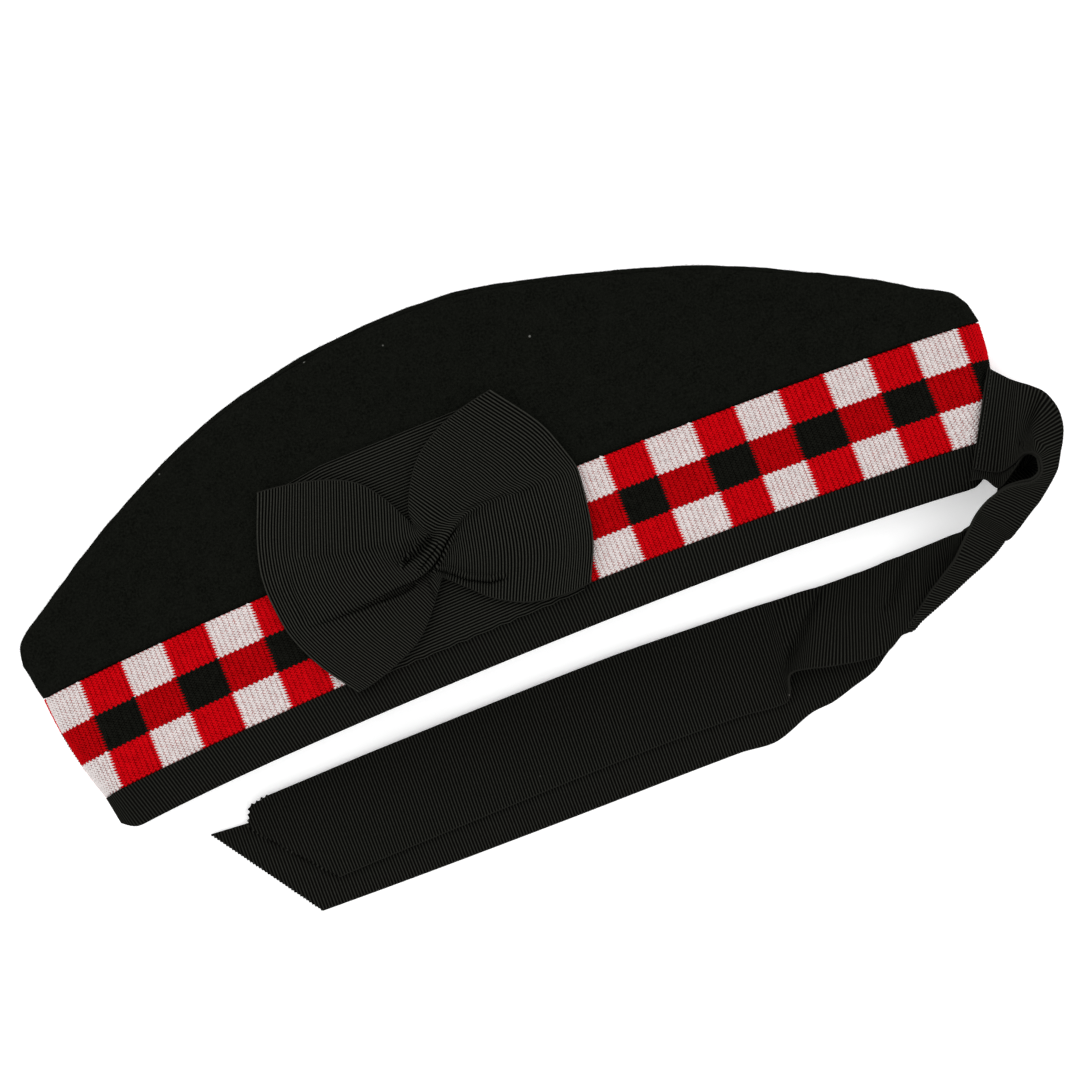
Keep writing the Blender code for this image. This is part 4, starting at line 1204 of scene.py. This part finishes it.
def creaseLift(x, y):
    # what the sharp creases take away from the height, and the lips beside them
    c, s = math.cos(bow["turn"]), math.sin(bow["turn"])
    fromX, fromY = (x - bow["corner"][0]) / bow["unit"], (y - bow["corner"][1]) / bow["unit"]
    right, down = fromX * c - fromY * s, -fromX * s - fromY * c
    perUnit = bow["unit"] * 1000
    reach, ends = bow["creaseReach"], bow["creaseFade"]
    lift = np.zeros_like(x)
    for depth, half, lip, line in bow["creases"]:
        line = np.array(line, float)
        runs = np.concatenate([[0], np.cumsum(np.linalg.norm(np.diff(line, axis=0), axis=1))])
        near, along, side = np.full(x.shape, 1e9), np.zeros_like(x), np.zeros_like(x)
        for k in range(len(line) - 1):
            way = line[k + 1] - line[k]
            size = np.linalg.norm(way)
            way = way / size
            dx, dy = right - line[k, 0], down - line[k, 1]
            t = np.clip(dx * way[0] + dy * way[1], 0, size)
            away = np.hypot(dx - t * way[0], dy - t * way[1])
            closer = away < near
            near = np.where(closer, away, near)
            along = np.where(closer, (runs[k] + t) / runs[-1], along)
            side = np.where(closer, dx * way[1] - dy * way[0], side)
        near, side = near * perUnit, side * perUnit
        fade = np.clip(along / ends, 0, 1) * np.clip((1 - along) / ends, 0, 1)
        fade = np.sqrt(fade) * (near < reach)
        lift -= depth * fade * np.exp(-(near / half) ** 2)
        lift += lip * fade * np.exp(-((side - 2.2 * half) / (1.2 * half)) ** 2) * (near < reach * half)
    return lift / 1000


def smoothAcross(rows, at, kink):
    # the columns of each row on a curve through its points, bent sharply at the creases
    lengths = np.linalg.norm(np.diff(rows[..., :2], axis=1), axis=2).mean(axis=0)
    knots = np.concatenate([[0], np.cumsum(np.maximum(lengths, bow["leastStep"]))])
    slopes = np.empty_like(rows)
    slopes[:, 0] = (rows[:, 1] - rows[:, 0]) / (knots[1] - knots[0])
    slopes[:, -1] = (rows[:, -1] - rows[:, -2]) / (knots[-1] - knots[-2])
    chord = np.diff(rows, axis=1) / np.diff(knots)[None, :, None]
    before, after = chord[:, :-1], chord[:, 1:]
    w = np.diff(knots)
    mean = (before * w[None, 1:, None] + after * w[None, :-1, None]) / (w[:-1] + w[1:])[None, :, None]
    most = bow["steepest"] * np.minimum(abs(before), abs(after))
    limited = np.where(before * after > 0, np.clip(mean, -most, most), 0.0)
    slopes[:, 1:-1] = mean
    slopes[:, 1:-1, 2] = limited[..., 2]
    arriving, leaving = slopes.copy(), slopes.copy()
    for k in bow["kinkMarks"]:
        arriving[:, k, :2] += (chord[:, k - 1, :2] - slopes[:, k, :2]) * kink[:, None]
        leaving[:, k, :2] += (chord[:, k, :2] - slopes[:, k, :2]) * kink[:, None]
    i = np.clip(np.floor(at).astype(int), 0, rows.shape[1] - 2)
    t = (at - i)[None, :, None]
    step = (knots[i + 1] - knots[i])[None, :, None]
    return smoothBetween(t, rows[:, i], step * leaving[:, i], rows[:, i + 1], step * arriving[:, i + 1])


def rosetteBow():
    marks = np.array(bow["ribs"], float)
    x, y = bowPlace(marks[..., 0], marks[..., 1])
    rows = np.stack([x, y, marks[..., 2] * 1e-4], -1)
    # the two ends turn down and under
    ends = []
    for end, inward in ((rows[0], rows[1]), (rows[-1], rows[-2])):
        way = inward - end
        way[:, 2] = 0
        way /= np.linalg.norm(way, axis=1, keepdims=True)
        ends.append([end + way * along + np.array([0, 0, up]) for along, up in bow["endTurn"]])
    rows = np.concatenate([[ends[0][1], ends[0][0]], rows, [ends[1][0], ends[1][1]]])
    setup = runSetup(rows, levelOff=False)
    fine, count = ribbonRun(setup, grosgrain["rosettePitch"], bow["perRib"])
    # columns by their share of the ribbon's width, from the longest rib
    steps = np.linalg.norm(np.diff(rows[2], axis=0), axis=1)
    steps = steps + np.linalg.norm(np.diff(rows[-3], axis=0), axis=1)
    marksAcross = np.concatenate([[0], np.cumsum(steps)]) / steps.sum() * bow["width"]
    edge = np.array(grosgrain["edgeColumns"])
    dense = np.linspace(0, 1, 2001)
    weight = 1 + sum(size * np.exp(-((dense - at) / wide) ** 2) for at, wide, size in bow["closer"])
    spots = np.interp(np.linspace(0, 1, bow["columns"]), np.cumsum(weight) / weight.sum(), dense)
    inner = bow["sideColumns"] + (bow["width"] - 2 * bow["sideColumns"]) * spots
    across = np.concatenate([edge, inner, bow["width"] - edge[::-1]])
    at = np.interp(across, marksAcross, np.arange(len(marksAcross)))
    ribsToFull, least, most = bow["kinkFade"]
    kink = np.clip(np.minimum(count, count[-1] - count) / ribsToFull, least, most)
    grid = smoothAcross(fine, at, kink)
    high = grid[..., 2] + creaseLift(grid[..., 0], grid[..., 1])
    # the turned ends stay as low as they are
    turned = grid[..., 2] < bow["turnedBelow"]
    grid[..., 2] = np.where(turned, grid[..., 2], np.maximum(high, bow["lowest"]))
    grid[..., 2] += topHeight(grid[..., 0], grid[..., 1]) + cap["gap"] + bow["aboveBase"]
    small, large = bow["lumpSizes"]
    grid[..., 2] += bow["lumps"] * softWaves(grid, small, 9) + 2 * bow["lumps"] * softWaves(grid, large, 4)
    return ribbonObject("rosette_bow_ribbon", grid, count, across, bow["width"], bowRibbon)


def bowUnderside():
    # the lower half of the ring, flat on the base
    marks = np.array(bow["ribs"], float)
    x, y = bowPlace(marks[..., 0], marks[..., 1])
    middle = np.array([x.mean(), y.mean()])
    rows = np.stack([x, y, np.zeros_like(x)], -1)
    rows[..., :2] = middle + (rows[..., :2] - middle) * bow["underShare"]
    setup = runSetup(rows, levelOff=False)
    fine, count = ribbonRun(setup, grosgrain["rosettePitch"], bow["underPerRib"])
    across = np.linspace(0, bow["width"], bow["underColumns"])
    grid = acrossAt(fine, across / bow["width"] * (rows.shape[1] - 1))
    grid[..., 2] = topHeight(grid[..., 0], grid[..., 1]) + cap["gap"] + bow["aboveBase"]
    return ribbonObject("rosette_bow_under", grid, count, across, bow["width"], bowRibbon)


bowPiece = rosetteBow()
bowUnder = bowUnderside()
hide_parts("rosette_bow")
print("the bow is gathered")

# the two tails

tail = {
    "width": 0.0320,
    "wall": 0.0010,
    "foldRound": 0.0013,
    "perRib": 4,
    "layer": 0.0013,
    "rootInner": (-0.11, 0.21),
    "rootOuter": (0.395, 1.06),
    "creaseStart": 0.93,
    "creaseEnd": 0.22,
    "columns": [0, 0.08, 0.2, 0.5, 0.8, 1.2, 1.6, 2.0, 2.35, 2.7, 3.0, 3.3, 3.65, 4.0, 4.4, 4.8,
                5.2, 5.5, 5.8, 5.92, 6.0],
    "creaseShare": 0.4,
    # the hidden stretch: how far inside the near tail, its rows, and how its lower edge closes the turn
    "insideNear": 0.0009,
    "hiddenStep": 0.0046,
    "hiddenParts": 3,
    "liftedShare": 0.12,
    "leanPower": 2.4,
    "closedUp": 0.12,
    "slip": 0.12,
    # along the turn: row number, how far the hidden tail reaches past the near one, and its lean
    "hidden": [(0, 0.0, 0.0), (1, 0.16, 0.75), (1.6, 0.10, 1.0), (2.3, 0.0, 1.05), (4, -0.03, 1.05),
               (7, -0.02, 1.05), (8.5, -0.01, 1.05), (9.6, 0.0, 1.05), (10.7, 0.0, 1.0),
               (12.3, -0.03, 1.0), (13.9, -0.06, 0.9), (15.2, -0.10, 0.6), (17, -0.16, 0.0)],
    # dents: depth, half width, and the two ends of each in ribbon widths
    "turnDents": [(0.0034, 0.0020, (0.75, 0.62), (0.42, 0.24))],
    "dents": [(0.0024, 0.0016, (-0.96, -0.36), (-1.38, -0.74)),
              (0.0021, 0.0011, (-1.86, -0.28), (-2.52, -0.90))],
    # ribs pressed flat along the sewn edge, then its stitches: how uneven along and across, how
    # far in and up they sit, and how far each reaches along, across, above and below
    "hem": 2.6,
    "stitches": 26,
    "stitchUneven": (0.002, 0.00006),
    "stitchIn": 0.0012,
    "stitchUp": 0.00042,
    "stitchLong": 0.00042,
    "stitchWide": 0.00017,
    "stitchTop": 0.00022,
    "stitchFoot": 0.00030,
    # the cut ends: y and x in ribbon widths, then the pitch and length of the small teeth
    "nearCut": ([-1.40, -0.31], [-7.54, -8.27], 0.0011, 0.0004),
    "farCut": ([-1.18, -0.385, -0.19, -0.17], [-7.25, -7.91, -7.81, -7.60], 0.0017, 0.0007),
    "hole": (0.385, 0.045),
    "slot": (-0.05, -0.045),
    "toothSpread": (0.7, 1.1),
    "toothOverlap": 0.0002,
    "toothThins": 0.6,
    "sway": 0.00025,
    "swaySize": 0.05,
    "swayFrom": (0.35, 0.55),
    "cutFrom": 0.6,
}
# each rib of a tail from the cap's back corner, in ribbon widths: x, y and height of its inner
# end, of a place on the way where it bends, and of its outer end
nearStanding = [
    [(0.12, 0.08, 0.50), (0.33, 0.48, 0.44), (0.55, 0.885, 0.38)],
    [(0.26, 0.10, 0.64), (0.44, 0.46, 0.50), (0.62, 0.82, 0.31)],
    [(0.345, 0.14, 0.74), (0.49, 0.43, 0.46), (0.72, 0.74, 0.21)],
    [(0.40, 0.16, 0.82), (0.57, 0.41, 0.40), (0.82, 0.63, 0.12)],
    [(0.445, 0.155, 0.88), (0.57, 0.345, 0.47), (0.875, 0.46, 0.04)],
    [(0.487, 0.14, 0.91), (0.545, 0.25, 0.58), (0.865, 0.29, 0.02)],
    [(0.52, 0.10, 0.93), (0.62, 0.145, 0.62), (0.81, 0.155, 0.02)],
    [(0.53, 0.05, 0.94), (0.635, 0.055, 0.48), (0.745, 0.05, 0.02)],
    [(0.505, -0.055, 0.94), (0.59, -0.065, 0.48), (0.67, -0.075, 0.02)],
    [(0.455, -0.10, 0.94), (0.545, -0.11, 0.48), (0.63, -0.12, 0.02)],
    [(0.37, -0.12, 0.93), (0.46, -0.16, 0.48), (0.555, -0.185, 0.02)],
    [(0.26, -0.10, 0.92), (0.36, -0.175, 0.47), (0.46, -0.26, 0.02)],
    [(0.13, -0.085, 0.905), (0.255, -0.21, 0.46), (0.37, -0.325, 0.02)],
    [(0.02, -0.10, 0.89), (0.16, -0.235, 0.46), (0.28, -0.375, 0.02)],
    [(-0.09, -0.13, 0.88), (0.06, -0.28, 0.46), (0.19, -0.43, 0.02)],
    [(-0.19, -0.18, 0.88), (-0.03, -0.335, 0.45), (0.09, -0.49, 0.02)],
    [(-0.29, -0.25, 0.88), (-0.16, -0.40, 0.45), (-0.045, -0.55, 0.02)],
]
# the stretch folded under itself: inner end, crease and outer end
nearFolded = [
    (-0.39, -0.345, 0.82, -0.15, -0.60, -0.18, -0.50),
    (-0.47, -0.42, 0.75, -0.27, -0.66, -0.33, -0.48),
    (-0.60, -0.54, 0.61, -0.40, -0.71, -0.46, -0.41),
    (-0.71, -0.61, 0.49, -0.53, -0.755, -0.60, -0.38),
    (-0.82, -0.675, 0.38, -0.67, -0.81, -0.76, -0.38),
    (-0.94, -0.745, 0.27, -0.80, -0.86, -0.90, -0.38),
    (-1.07, -0.84, 0.17, -0.94, -0.91, -1.03, -0.39),
    (-1.23, -0.945, 0.10, -1.12, -0.975, -1.17, -0.39),
    (-1.33, -1.00, 0.05, -1.24, -1.025, -1.26, -0.39),
]
foldRounds = [1.0, 1.0, 1.0, 0.95, 0.85, 0.70, 0.50, 0.38, 0.30]
nearLying = [
    (-1.45, -1.085, 0.0, -1.36, -0.39, 0.0), (-1.54, -1.14, 0.0, -1.47, -0.40, 0.0),
    (-1.72, -1.25, 0.0, -1.66, -0.41, 0.0), (-1.97, -1.32, 0.0, -1.92, -0.44, 0.0),
    (-2.20, -1.38, 0.0, -2.16, -0.45, 0.0), (-2.43, -1.40, 0.0, -2.39, -0.45, 0.0),
    (-2.85, -1.53, 0.0, -2.81, -0.52, 0.0), (-3.22, -1.50, 0.0, -3.18, -0.51, 0.0),
    (-5.09, -1.47, 0.0, -5.07, -0.47, 0.0), (-6.80, -1.43, 0.0, -6.79, -0.43, 0.0),
    (-8.44, -1.37, 0.0, -8.38, -0.30, 0.0),
]
farLying = [
    [(-0.42, -0.31, 0.63), (-0.48, -0.46, 0.36), (-0.55, -0.60, 0.12)],
    [(-0.52, -0.31, 0.43), (-0.60, -0.52, 0.22), (-0.68, -0.72, 0.05)],
    [(-0.63, -0.31, 0.30), (-0.69, -0.54, 0.15), (-0.79, -0.80, 0.03)],
    [(-0.77, -0.31, 0.18), (-0.87, -0.56, 0.09), (-0.95, -0.87, 0.03)],
    [(-0.86, -0.31, 0.14), (-0.97, -0.61, 0.07), (-1.07, -0.91, 0.04)],
    [(-0.95, -0.31, 0.105), (-1.06, -0.60, 0.06), (-1.18, -0.955, 0.05)],
    [(-1.06, -0.31, 0.08), (-1.22, -0.66, 0.06), (-1.35, -1.035, 0.06)],
    [(-1.22, -0.305, 0.05), (-1.40, -0.68, 0.05), (-1.51, -1.12, 0.05)],
    [(-1.33, -0.31, 0.045), (-1.50, -0.70, 0.07), (-1.65, -1.13, 0.08)],
    [(-1.44, -0.31, 0.04), (-1.60, -0.69, 0.08), (-1.76, -1.12, 0.10)],
    [(-1.59, -0.305, 0.04), (-1.76, -0.67, 0.12), (-1.92, -1.09, 0.14)],
    [(-1.76, -0.30, 0.04), (-1.93, -0.62, 0.12), (-2.14, -1.04, 0.19)],
    [(-1.93, -0.29, 0.035), (-2.06, -0.57, 0.11), (-2.28, -1.00, 0.21)],
    [(-2.10, -0.27, 0.02), (-2.20, -0.66, 0.08), (-2.38, -0.975, 0.21)],
    [(-2.26, -0.26, 0.01), (-2.33, -0.76, 0.05), (-2.45, -0.965, 0.20)],
    [(-2.40, -0.25, 0.0), (-2.45, -0.80, 0.04), (-2.51, -1.00, 0.16)],
    [(-2.50, -0.24, 0.0), (-2.54, -0.72, 0.01), (-2.58, -1.19, 0.02)],
    [(-2.66, -0.23, 0.0), (-2.68, -0.72, 0.0), (-2.70, -1.22, 0.0)],
    [(-3.05, -0.21, 0.0), (-3.08, -0.69, 0.0), (-3.10, -1.175, 0.0)],
    [(-4.14, -0.16, 0.0), (-4.16, -0.65, 0.0), (-4.18, -1.14, 0.0)],
    [(-6.45, -0.15, 0.0), (-6.46, -0.65, 0.0), (-6.48, -1.15, 0.0)],
    [(-7.20, -0.16, 0.0), (-7.20, -0.66, 0.0), (-7.20, -1.16, 0.0)],
    [(-8.05, -0.17, 0.0), (-8.05, -0.68, 0.0), (-8.05, -1.19, 0.0)],
]
tailRibbon = ribbonMaterial("tail grosgrain", ribbonLook, tail["width"], 0.99, 1.0)
backCorner = np.array([capLine(0, np.array(1.0))[0], -cap["bindingHeight"]])


def tailPoint(x, y, up, layer):
    # ribbon widths from the back corner, turned into metres
    high = tail["wall"] / 2 + tail["layer"] * layer + tail["width"] * up
    return np.array([backCorner[0] + x * tail["width"], backCorner[1] + y * tail["width"], high])


def straightRow(start, end, middle=0.5):
    # seven points of a rib, with the fourth one at the middle share
    shares = [middle * k / 3 for k in range(3)] + [middle + (1 - middle) * k / 3 for k in range(4)]
    return [start + (end - start) * share for share in shares]


def bentRow(rib, layer):
    start, middle, end = (tailPoint(*place, layer) for place in rib)
    inner = [start + (middle - start) * k / 3 for k in range(3)]
    return inner + [middle + (end - middle) * k / 3 for k in range(4)]


def lyingRow(rib, layer, middle=0.5):
    return straightRow(tailPoint(*rib[:3], layer), tailPoint(*rib[3:], layer), middle)


def rootRow(layer, slip=0.0):
    # the end of a tail that is sewn to the back fold
    inner, outer = tailPoint(*tail["rootInner"], 0.0, 0), tailPoint(*tail["rootOuter"], 0.0, 0)
    slipped = (inner - outer) * slip
    row = straightRow(inner + slipped, outer + slipped)
    for point in row:
        point[2] = topHeight(point[0], point[1]) + cap["gap"] + tail["wall"] / 2
        point[2] += (tail["layer"] + cap["gap"]) * layer
    return row


def foldedRow(rib, roundShare):
    # a rib that comes down from its inner end, turns at the crease and runs back underneath
    innerX, innerY, innerUp, creaseX, creaseY, outerX, outerY = rib
    turn = tail["foldRound"] * roundShare
    inner = tailPoint(innerX, innerY, innerUp, 0)
    outer = tailPoint(outerX, outerY, 0.0, 0)
    nose = tailPoint(creaseX, creaseY, 0.0, 0) + np.array([0, 0, turn])
    above = nose + np.array([0, 0, turn])
    above = above + (inner - above) * min(tail["creaseShare"], 2 * turn / np.linalg.norm(inner - above))
    below = nose - np.array([0, 0, turn])
    below = below + (outer - below) * min(tail["creaseShare"], 2 * turn / np.linalg.norm(outer - below))
    return [inner, (inner + above) / 2, above, nose, below, (outer + below) / 2, outer]


def standingRows():
    rows = [rootRow(1)] + [bentRow(rib, 0) for rib in nearStanding[:-1]]
    last = [tailPoint(*place, 0) for place in nearStanding[-1]]
    return rows + [straightRow(last[0], last[2], tail["creaseStart"])]


def hiddenRows():
    # the far tail inside the near one's turn
    setup = runSetup(standingRows())
    at, numbers = [], []
    for k, (start, end) in enumerate(zip(setup[1][:-1], setup[1][1:])):
        parts = min(tail["hiddenParts"], math.ceil((end - start) / tail["hiddenStep"]))
        at += list(np.linspace(start, end, parts, endpoint=False))
        numbers += [k + j / parts for j in range(parts)]
    rows = runAt(setup, np.array(at + [setup[1][-1]]))
    numbers.append(len(setup[1]) - 1)
    inside = rows - gridNormals(rows) * tail["insideNear"]
    marks, reaches, leans = zip(*tail["hidden"])
    hidden = []
    for row, number in list(zip(inside, numbers))[1:]:
        foot = tail["liftedShare"] * number / numbers[-1]
        lower, upper = row[-1], row[0]
        reach = 1 + np.interp(number, marks, reaches)
        row = lower + (upper - lower) * foot + (row - lower) * (reach - foot)
        # the lower edge closes the turn from below
        holeX, holeY = tail["hole"]
        slotX, slotY = tail["slot"]
        x = np.clip((row[0, 0] - backCorner[0]) / tail["width"], slotX, holeX)
        y = slotY + (holeY - slotY) * (x - slotX) / (holeX - slotX)
        share = np.linspace(0, 1, len(row))[:, None] ** tail["leanPower"] * np.interp(number, marks, leans)
        hidden.append(row + (tailPoint(x, y, tail["closedUp"], 0) - row[-1]) * share)
    return hidden


def pinkedEdge(grid, count, across, pitch, toothLength):
    # a row of small teeth along the cut end, each a thin wedge
    end = grid[-1]
    run = np.concatenate([[0], np.cumsum(np.linalg.norm(np.diff(end[:, :2], axis=0), axis=1))])
    teeth = int(run[-1] / pitch)
    spots = np.linspace(0, run[-1], teeth * 2 + 1)
    line = np.stack([np.interp(spots, run, end[:, k]) for k in range(3)], -1)
    width, ribs = np.interp(spots, run, across), np.interp(spots, run, count[-1])
    points, faces, uv = [], [], []
    up = np.array([0, 0, grosgrain["wall"] / 2])
    for k in range(teeth):
        a, b = line[2 * k], line[2 * k + 2]
        way = np.array([a[1] - b[1], b[0] - a[0], 0]) / np.linalg.norm((b - a)[:2])
        way = way if way[0] < 0 else -way
        tip = line[2 * k + 1] + way * toothLength * dice.uniform(*tail["toothSpread"])
        a, b = a - way * tail["toothOverlap"], b - way * tail["toothOverlap"]
        thin = up * tail["toothThins"]
        start = len(points)
        points += [a + up, tip + thin, b + up, a - up, tip - thin, b - up]
        faces += [[start, start + 1, start + 2], [start + 5, start + 4, start + 3],
                  [start, start + 3, start + 4, start + 1], [start + 1, start + 4, start + 5, start + 2],
                  [start + 2, start + 5, start + 3, start]]
        uv += [(width[2 * k + j], ribs[2 * k + j]) for j in (0, 1, 2)] * 2
    return np.array(points), faces, np.array(uv)


def cutAcross(grid, count, ys, xs):
    # no column reaches beyond the cut, and each keeps its rib count there
    cutX = backCorner[0] + tail["width"] * np.interp((grid[..., 1] - backCorner[1]) / tail["width"], ys, xs)
    lying = np.arange(len(grid))[:, None] > len(grid) * tail["cutFrom"]
    past = (grid[..., 0] < cutX) & lying
    counts = np.broadcast_to(count[:, None], grid.shape[:2]).copy()
    for column in range(grid.shape[1]):
        first = past[:, column].argmax()
        line = grid[:, column]
        before, after = line[first - 1:first + 1, 0] - cutX[first - 1:first + 1, column]
        part = before / (before - after)
        counts[first:, column] = count[first - 1] + part * (count[first] - count[first - 1])
        grid[first:, column] = line[first - 1] + part * (line[first] - line[first - 1])
    return counts, past


def rootStitches():
    # a row of small stitches beside the edge that is sewn to the cap
    edge = np.array(rootRow(1))
    inner, outer = edge[0], edge[-1]
    along = (outer - inner) / np.linalg.norm(outer - inner)
    way = np.array([along[1], -along[0], 0.0])
    points, faces = [], []
    shareUneven, placeUneven = tail["stitchUneven"]
    for k in range(tail["stitches"]):
        share = (k + 0.5) / tail["stitches"] + dice.normal(0, shareUneven)
        spot = np.array([np.interp(share, np.linspace(0, 1, 7), edge[:, j]) for j in range(3)])
        spot = spot + way * (tail["stitchIn"] + dice.normal(0, placeUneven))
        spot = spot + np.array([0, 0, tail["stitchUp"]])
        start = len(points)
        for a, b in ((0, 1), (1, 0), (0, -1), (-1, 0)):
            points.append(spot + along * a * tail["stitchLong"] + way * b * tail["stitchWide"])
        points += [spot + np.array([0, 0, tail["stitchTop"]]), spot - np.array([0, 0, tail["stitchFoot"]])]
        for j in range(4):
            this, following = start + j, start + (j + 1) % 4
            faces += [[this, following, start + 4], [following, this, start + 5]]
    return clothObject("tail_root_stitches", np.array(points), faces, [threadYarn])


def tailPiece(name, rows, seed, cut, dents=()):
    setup = runSetup(rows)
    fine, count = ribbonRun(setup, grosgrain["tailPitch"], tail["perRib"])
    columns = np.array(tail["columns"])
    grid = acrossAt(fine, columns)
    across = columns / 6 * tail["width"]
    swayFrom, swayFull = tail["swayFrom"]
    lying = np.clip((count / count[-1] - swayFrom) / (swayFull - swayFrom), 0, 1)
    grid[..., 2] += tail["sway"] * (1 + softWaves(grid, tail["swaySize"], seed)) * lying[:, None]
    for depth, half, start, end in dents:
        start, end = tailPoint(*start, 0, 0)[:2], tailPoint(*end, 0, 0)[:2]
        way, place = end - start, grid[..., :2] - start
        along = np.clip((place @ way) / (way @ way), 0, 1)
        away = np.linalg.norm(place - along[..., None] * way, axis=-1)
        grid[..., 2] -= depth * np.exp(-(away / half) ** 2) * hump(along, 0.5)
    counts, past = cutAcross(grid, count, cut[0], cut[1])
    length = grosgrain["tailPitch"] * counts[-1].mean()
    print(name, "is", round(length, 4), "long")
    teeth = pinkedEdge(grid, counts, across, cut[2], cut[3])
    made = ribbonObject(name, grid, count, across, tail["width"], tailRibbon, extra=teeth,
                        cut=(counts, past), hem=tail["hem"])
    return made, length


nearRows = standingRows() + [foldedRow(rib, part) for rib, part in zip(nearFolded, foldRounds)]
nearRows += [lyingRow(nearLying[0], 0, tail["creaseEnd"])] + [lyingRow(rib, 0) for rib in nearLying[1:]]
farRows = [rootRow(0, tail["slip"])] + hiddenRows() + [bentRow(rib, 1) for rib in farLying]
nearPiece, nearLength = tailPiece("tail_near_ribbon", nearRows, 21, tail["nearCut"], tail["turnDents"])
farPiece, farLength = tailPiece("tail_far_ribbon", farRows, 21, tail["farCut"],
                                tail["turnDents"] + tail["dents"])
stitches = rootStitches()
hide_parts("tail_near")
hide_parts("tail_far")
print("the tails are laid")

# floor, light and camera

studio = {
    "sky": 1.35,
    "above": 3.0,
    "aboveSize": 1.2,
    "abovePlace": (-0.45, 0.75, 1.1),
    "aboveTurn": (math.radians(-34), math.radians(-22), 0),
    "floor": (0.93, 0.93, 0.93),
    "floorGlow": 0.35,
    "floorReach": 5.0,
    "floorDown": 0.0002,
    "viewAcross": 0.3348,
    "viewCentre": (-0.0007, 0.0016),
    "viewTurn": math.radians(-22),
    "viewHeight": 12.0,
    "filmWidth": 36.0,
}


def layFloor():
    mesh = bpy.data.meshes.new("floor")
    far, low = studio["floorReach"], -studio["floorDown"]
    corners = [(-far, -far, low), (far, -far, low), (far, far, low), (-far, far, low)]
    mesh.from_pydata(corners, [], [(0, 1, 2, 3)])
    material, _, _, shader = newMaterial("pale floor", studio["floor"], 1.0, 0.0, 0.0)
    shader.inputs["Emission Color"].default_value = (1.0, 1.0, 1.0, 1.0)
    shader.inputs["Emission Strength"].default_value = studio["floorGlow"]
    mesh.materials.append(material)
    made = bpy.data.objects.new("floor", mesh)
    bpy.context.scene.collection.objects.link(made)
    made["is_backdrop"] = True


def hangLights():
    world = bpy.data.worlds.new("even white light")
    world.use_nodes = True
    background = world.node_tree.nodes["Background"]
    background.inputs["Color"].default_value = (1.0, 1.0, 1.0, 1.0)
    background.inputs["Strength"].default_value = studio["sky"]
    bpy.context.scene.world = world
    lamp = bpy.data.lights.new("soft light above", "AREA")
    lamp.shape = "SQUARE"
    lamp.size = studio["aboveSize"]
    lamp.energy = studio["above"]
    made = bpy.data.objects.new("soft light above", lamp)
    made.location = studio["abovePlace"]
    made.rotation_euler = studio["aboveTurn"]
    made.visible_camera = False
    bpy.context.scene.collection.objects.link(made)


def setCamera():
    lens = bpy.data.cameras.new("camera above")
    lens.sensor_width = studio["filmWidth"]
    lens.lens = studio["filmWidth"] * studio["viewHeight"] / studio["viewAcross"]
    lens.clip_end = 100.0
    made = bpy.data.objects.new("camera above", lens)
    made.location = (*studio["viewCentre"], studio["viewHeight"])
    made.rotation_euler = (0, 0, studio["viewTurn"])
    bpy.context.scene.collection.objects.link(made)
    bpy.context.scene.camera = made


layFloor()
hangLights()
setCamera()
bpy.context.scene.view_settings.view_transform = "Standard"
bpy.context.scene.view_settings.look = "None"
print("floor, lights and camera are up")

bpy.context.view_layer.update()
total = 0
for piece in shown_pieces():
    mesh = piece.data
    if piece.type == "MESH":
        count = sum(len(p.vertices) - 2 for p in mesh.polygons)
        total += count
        print(piece.name, count)
print("triangles in all", total)
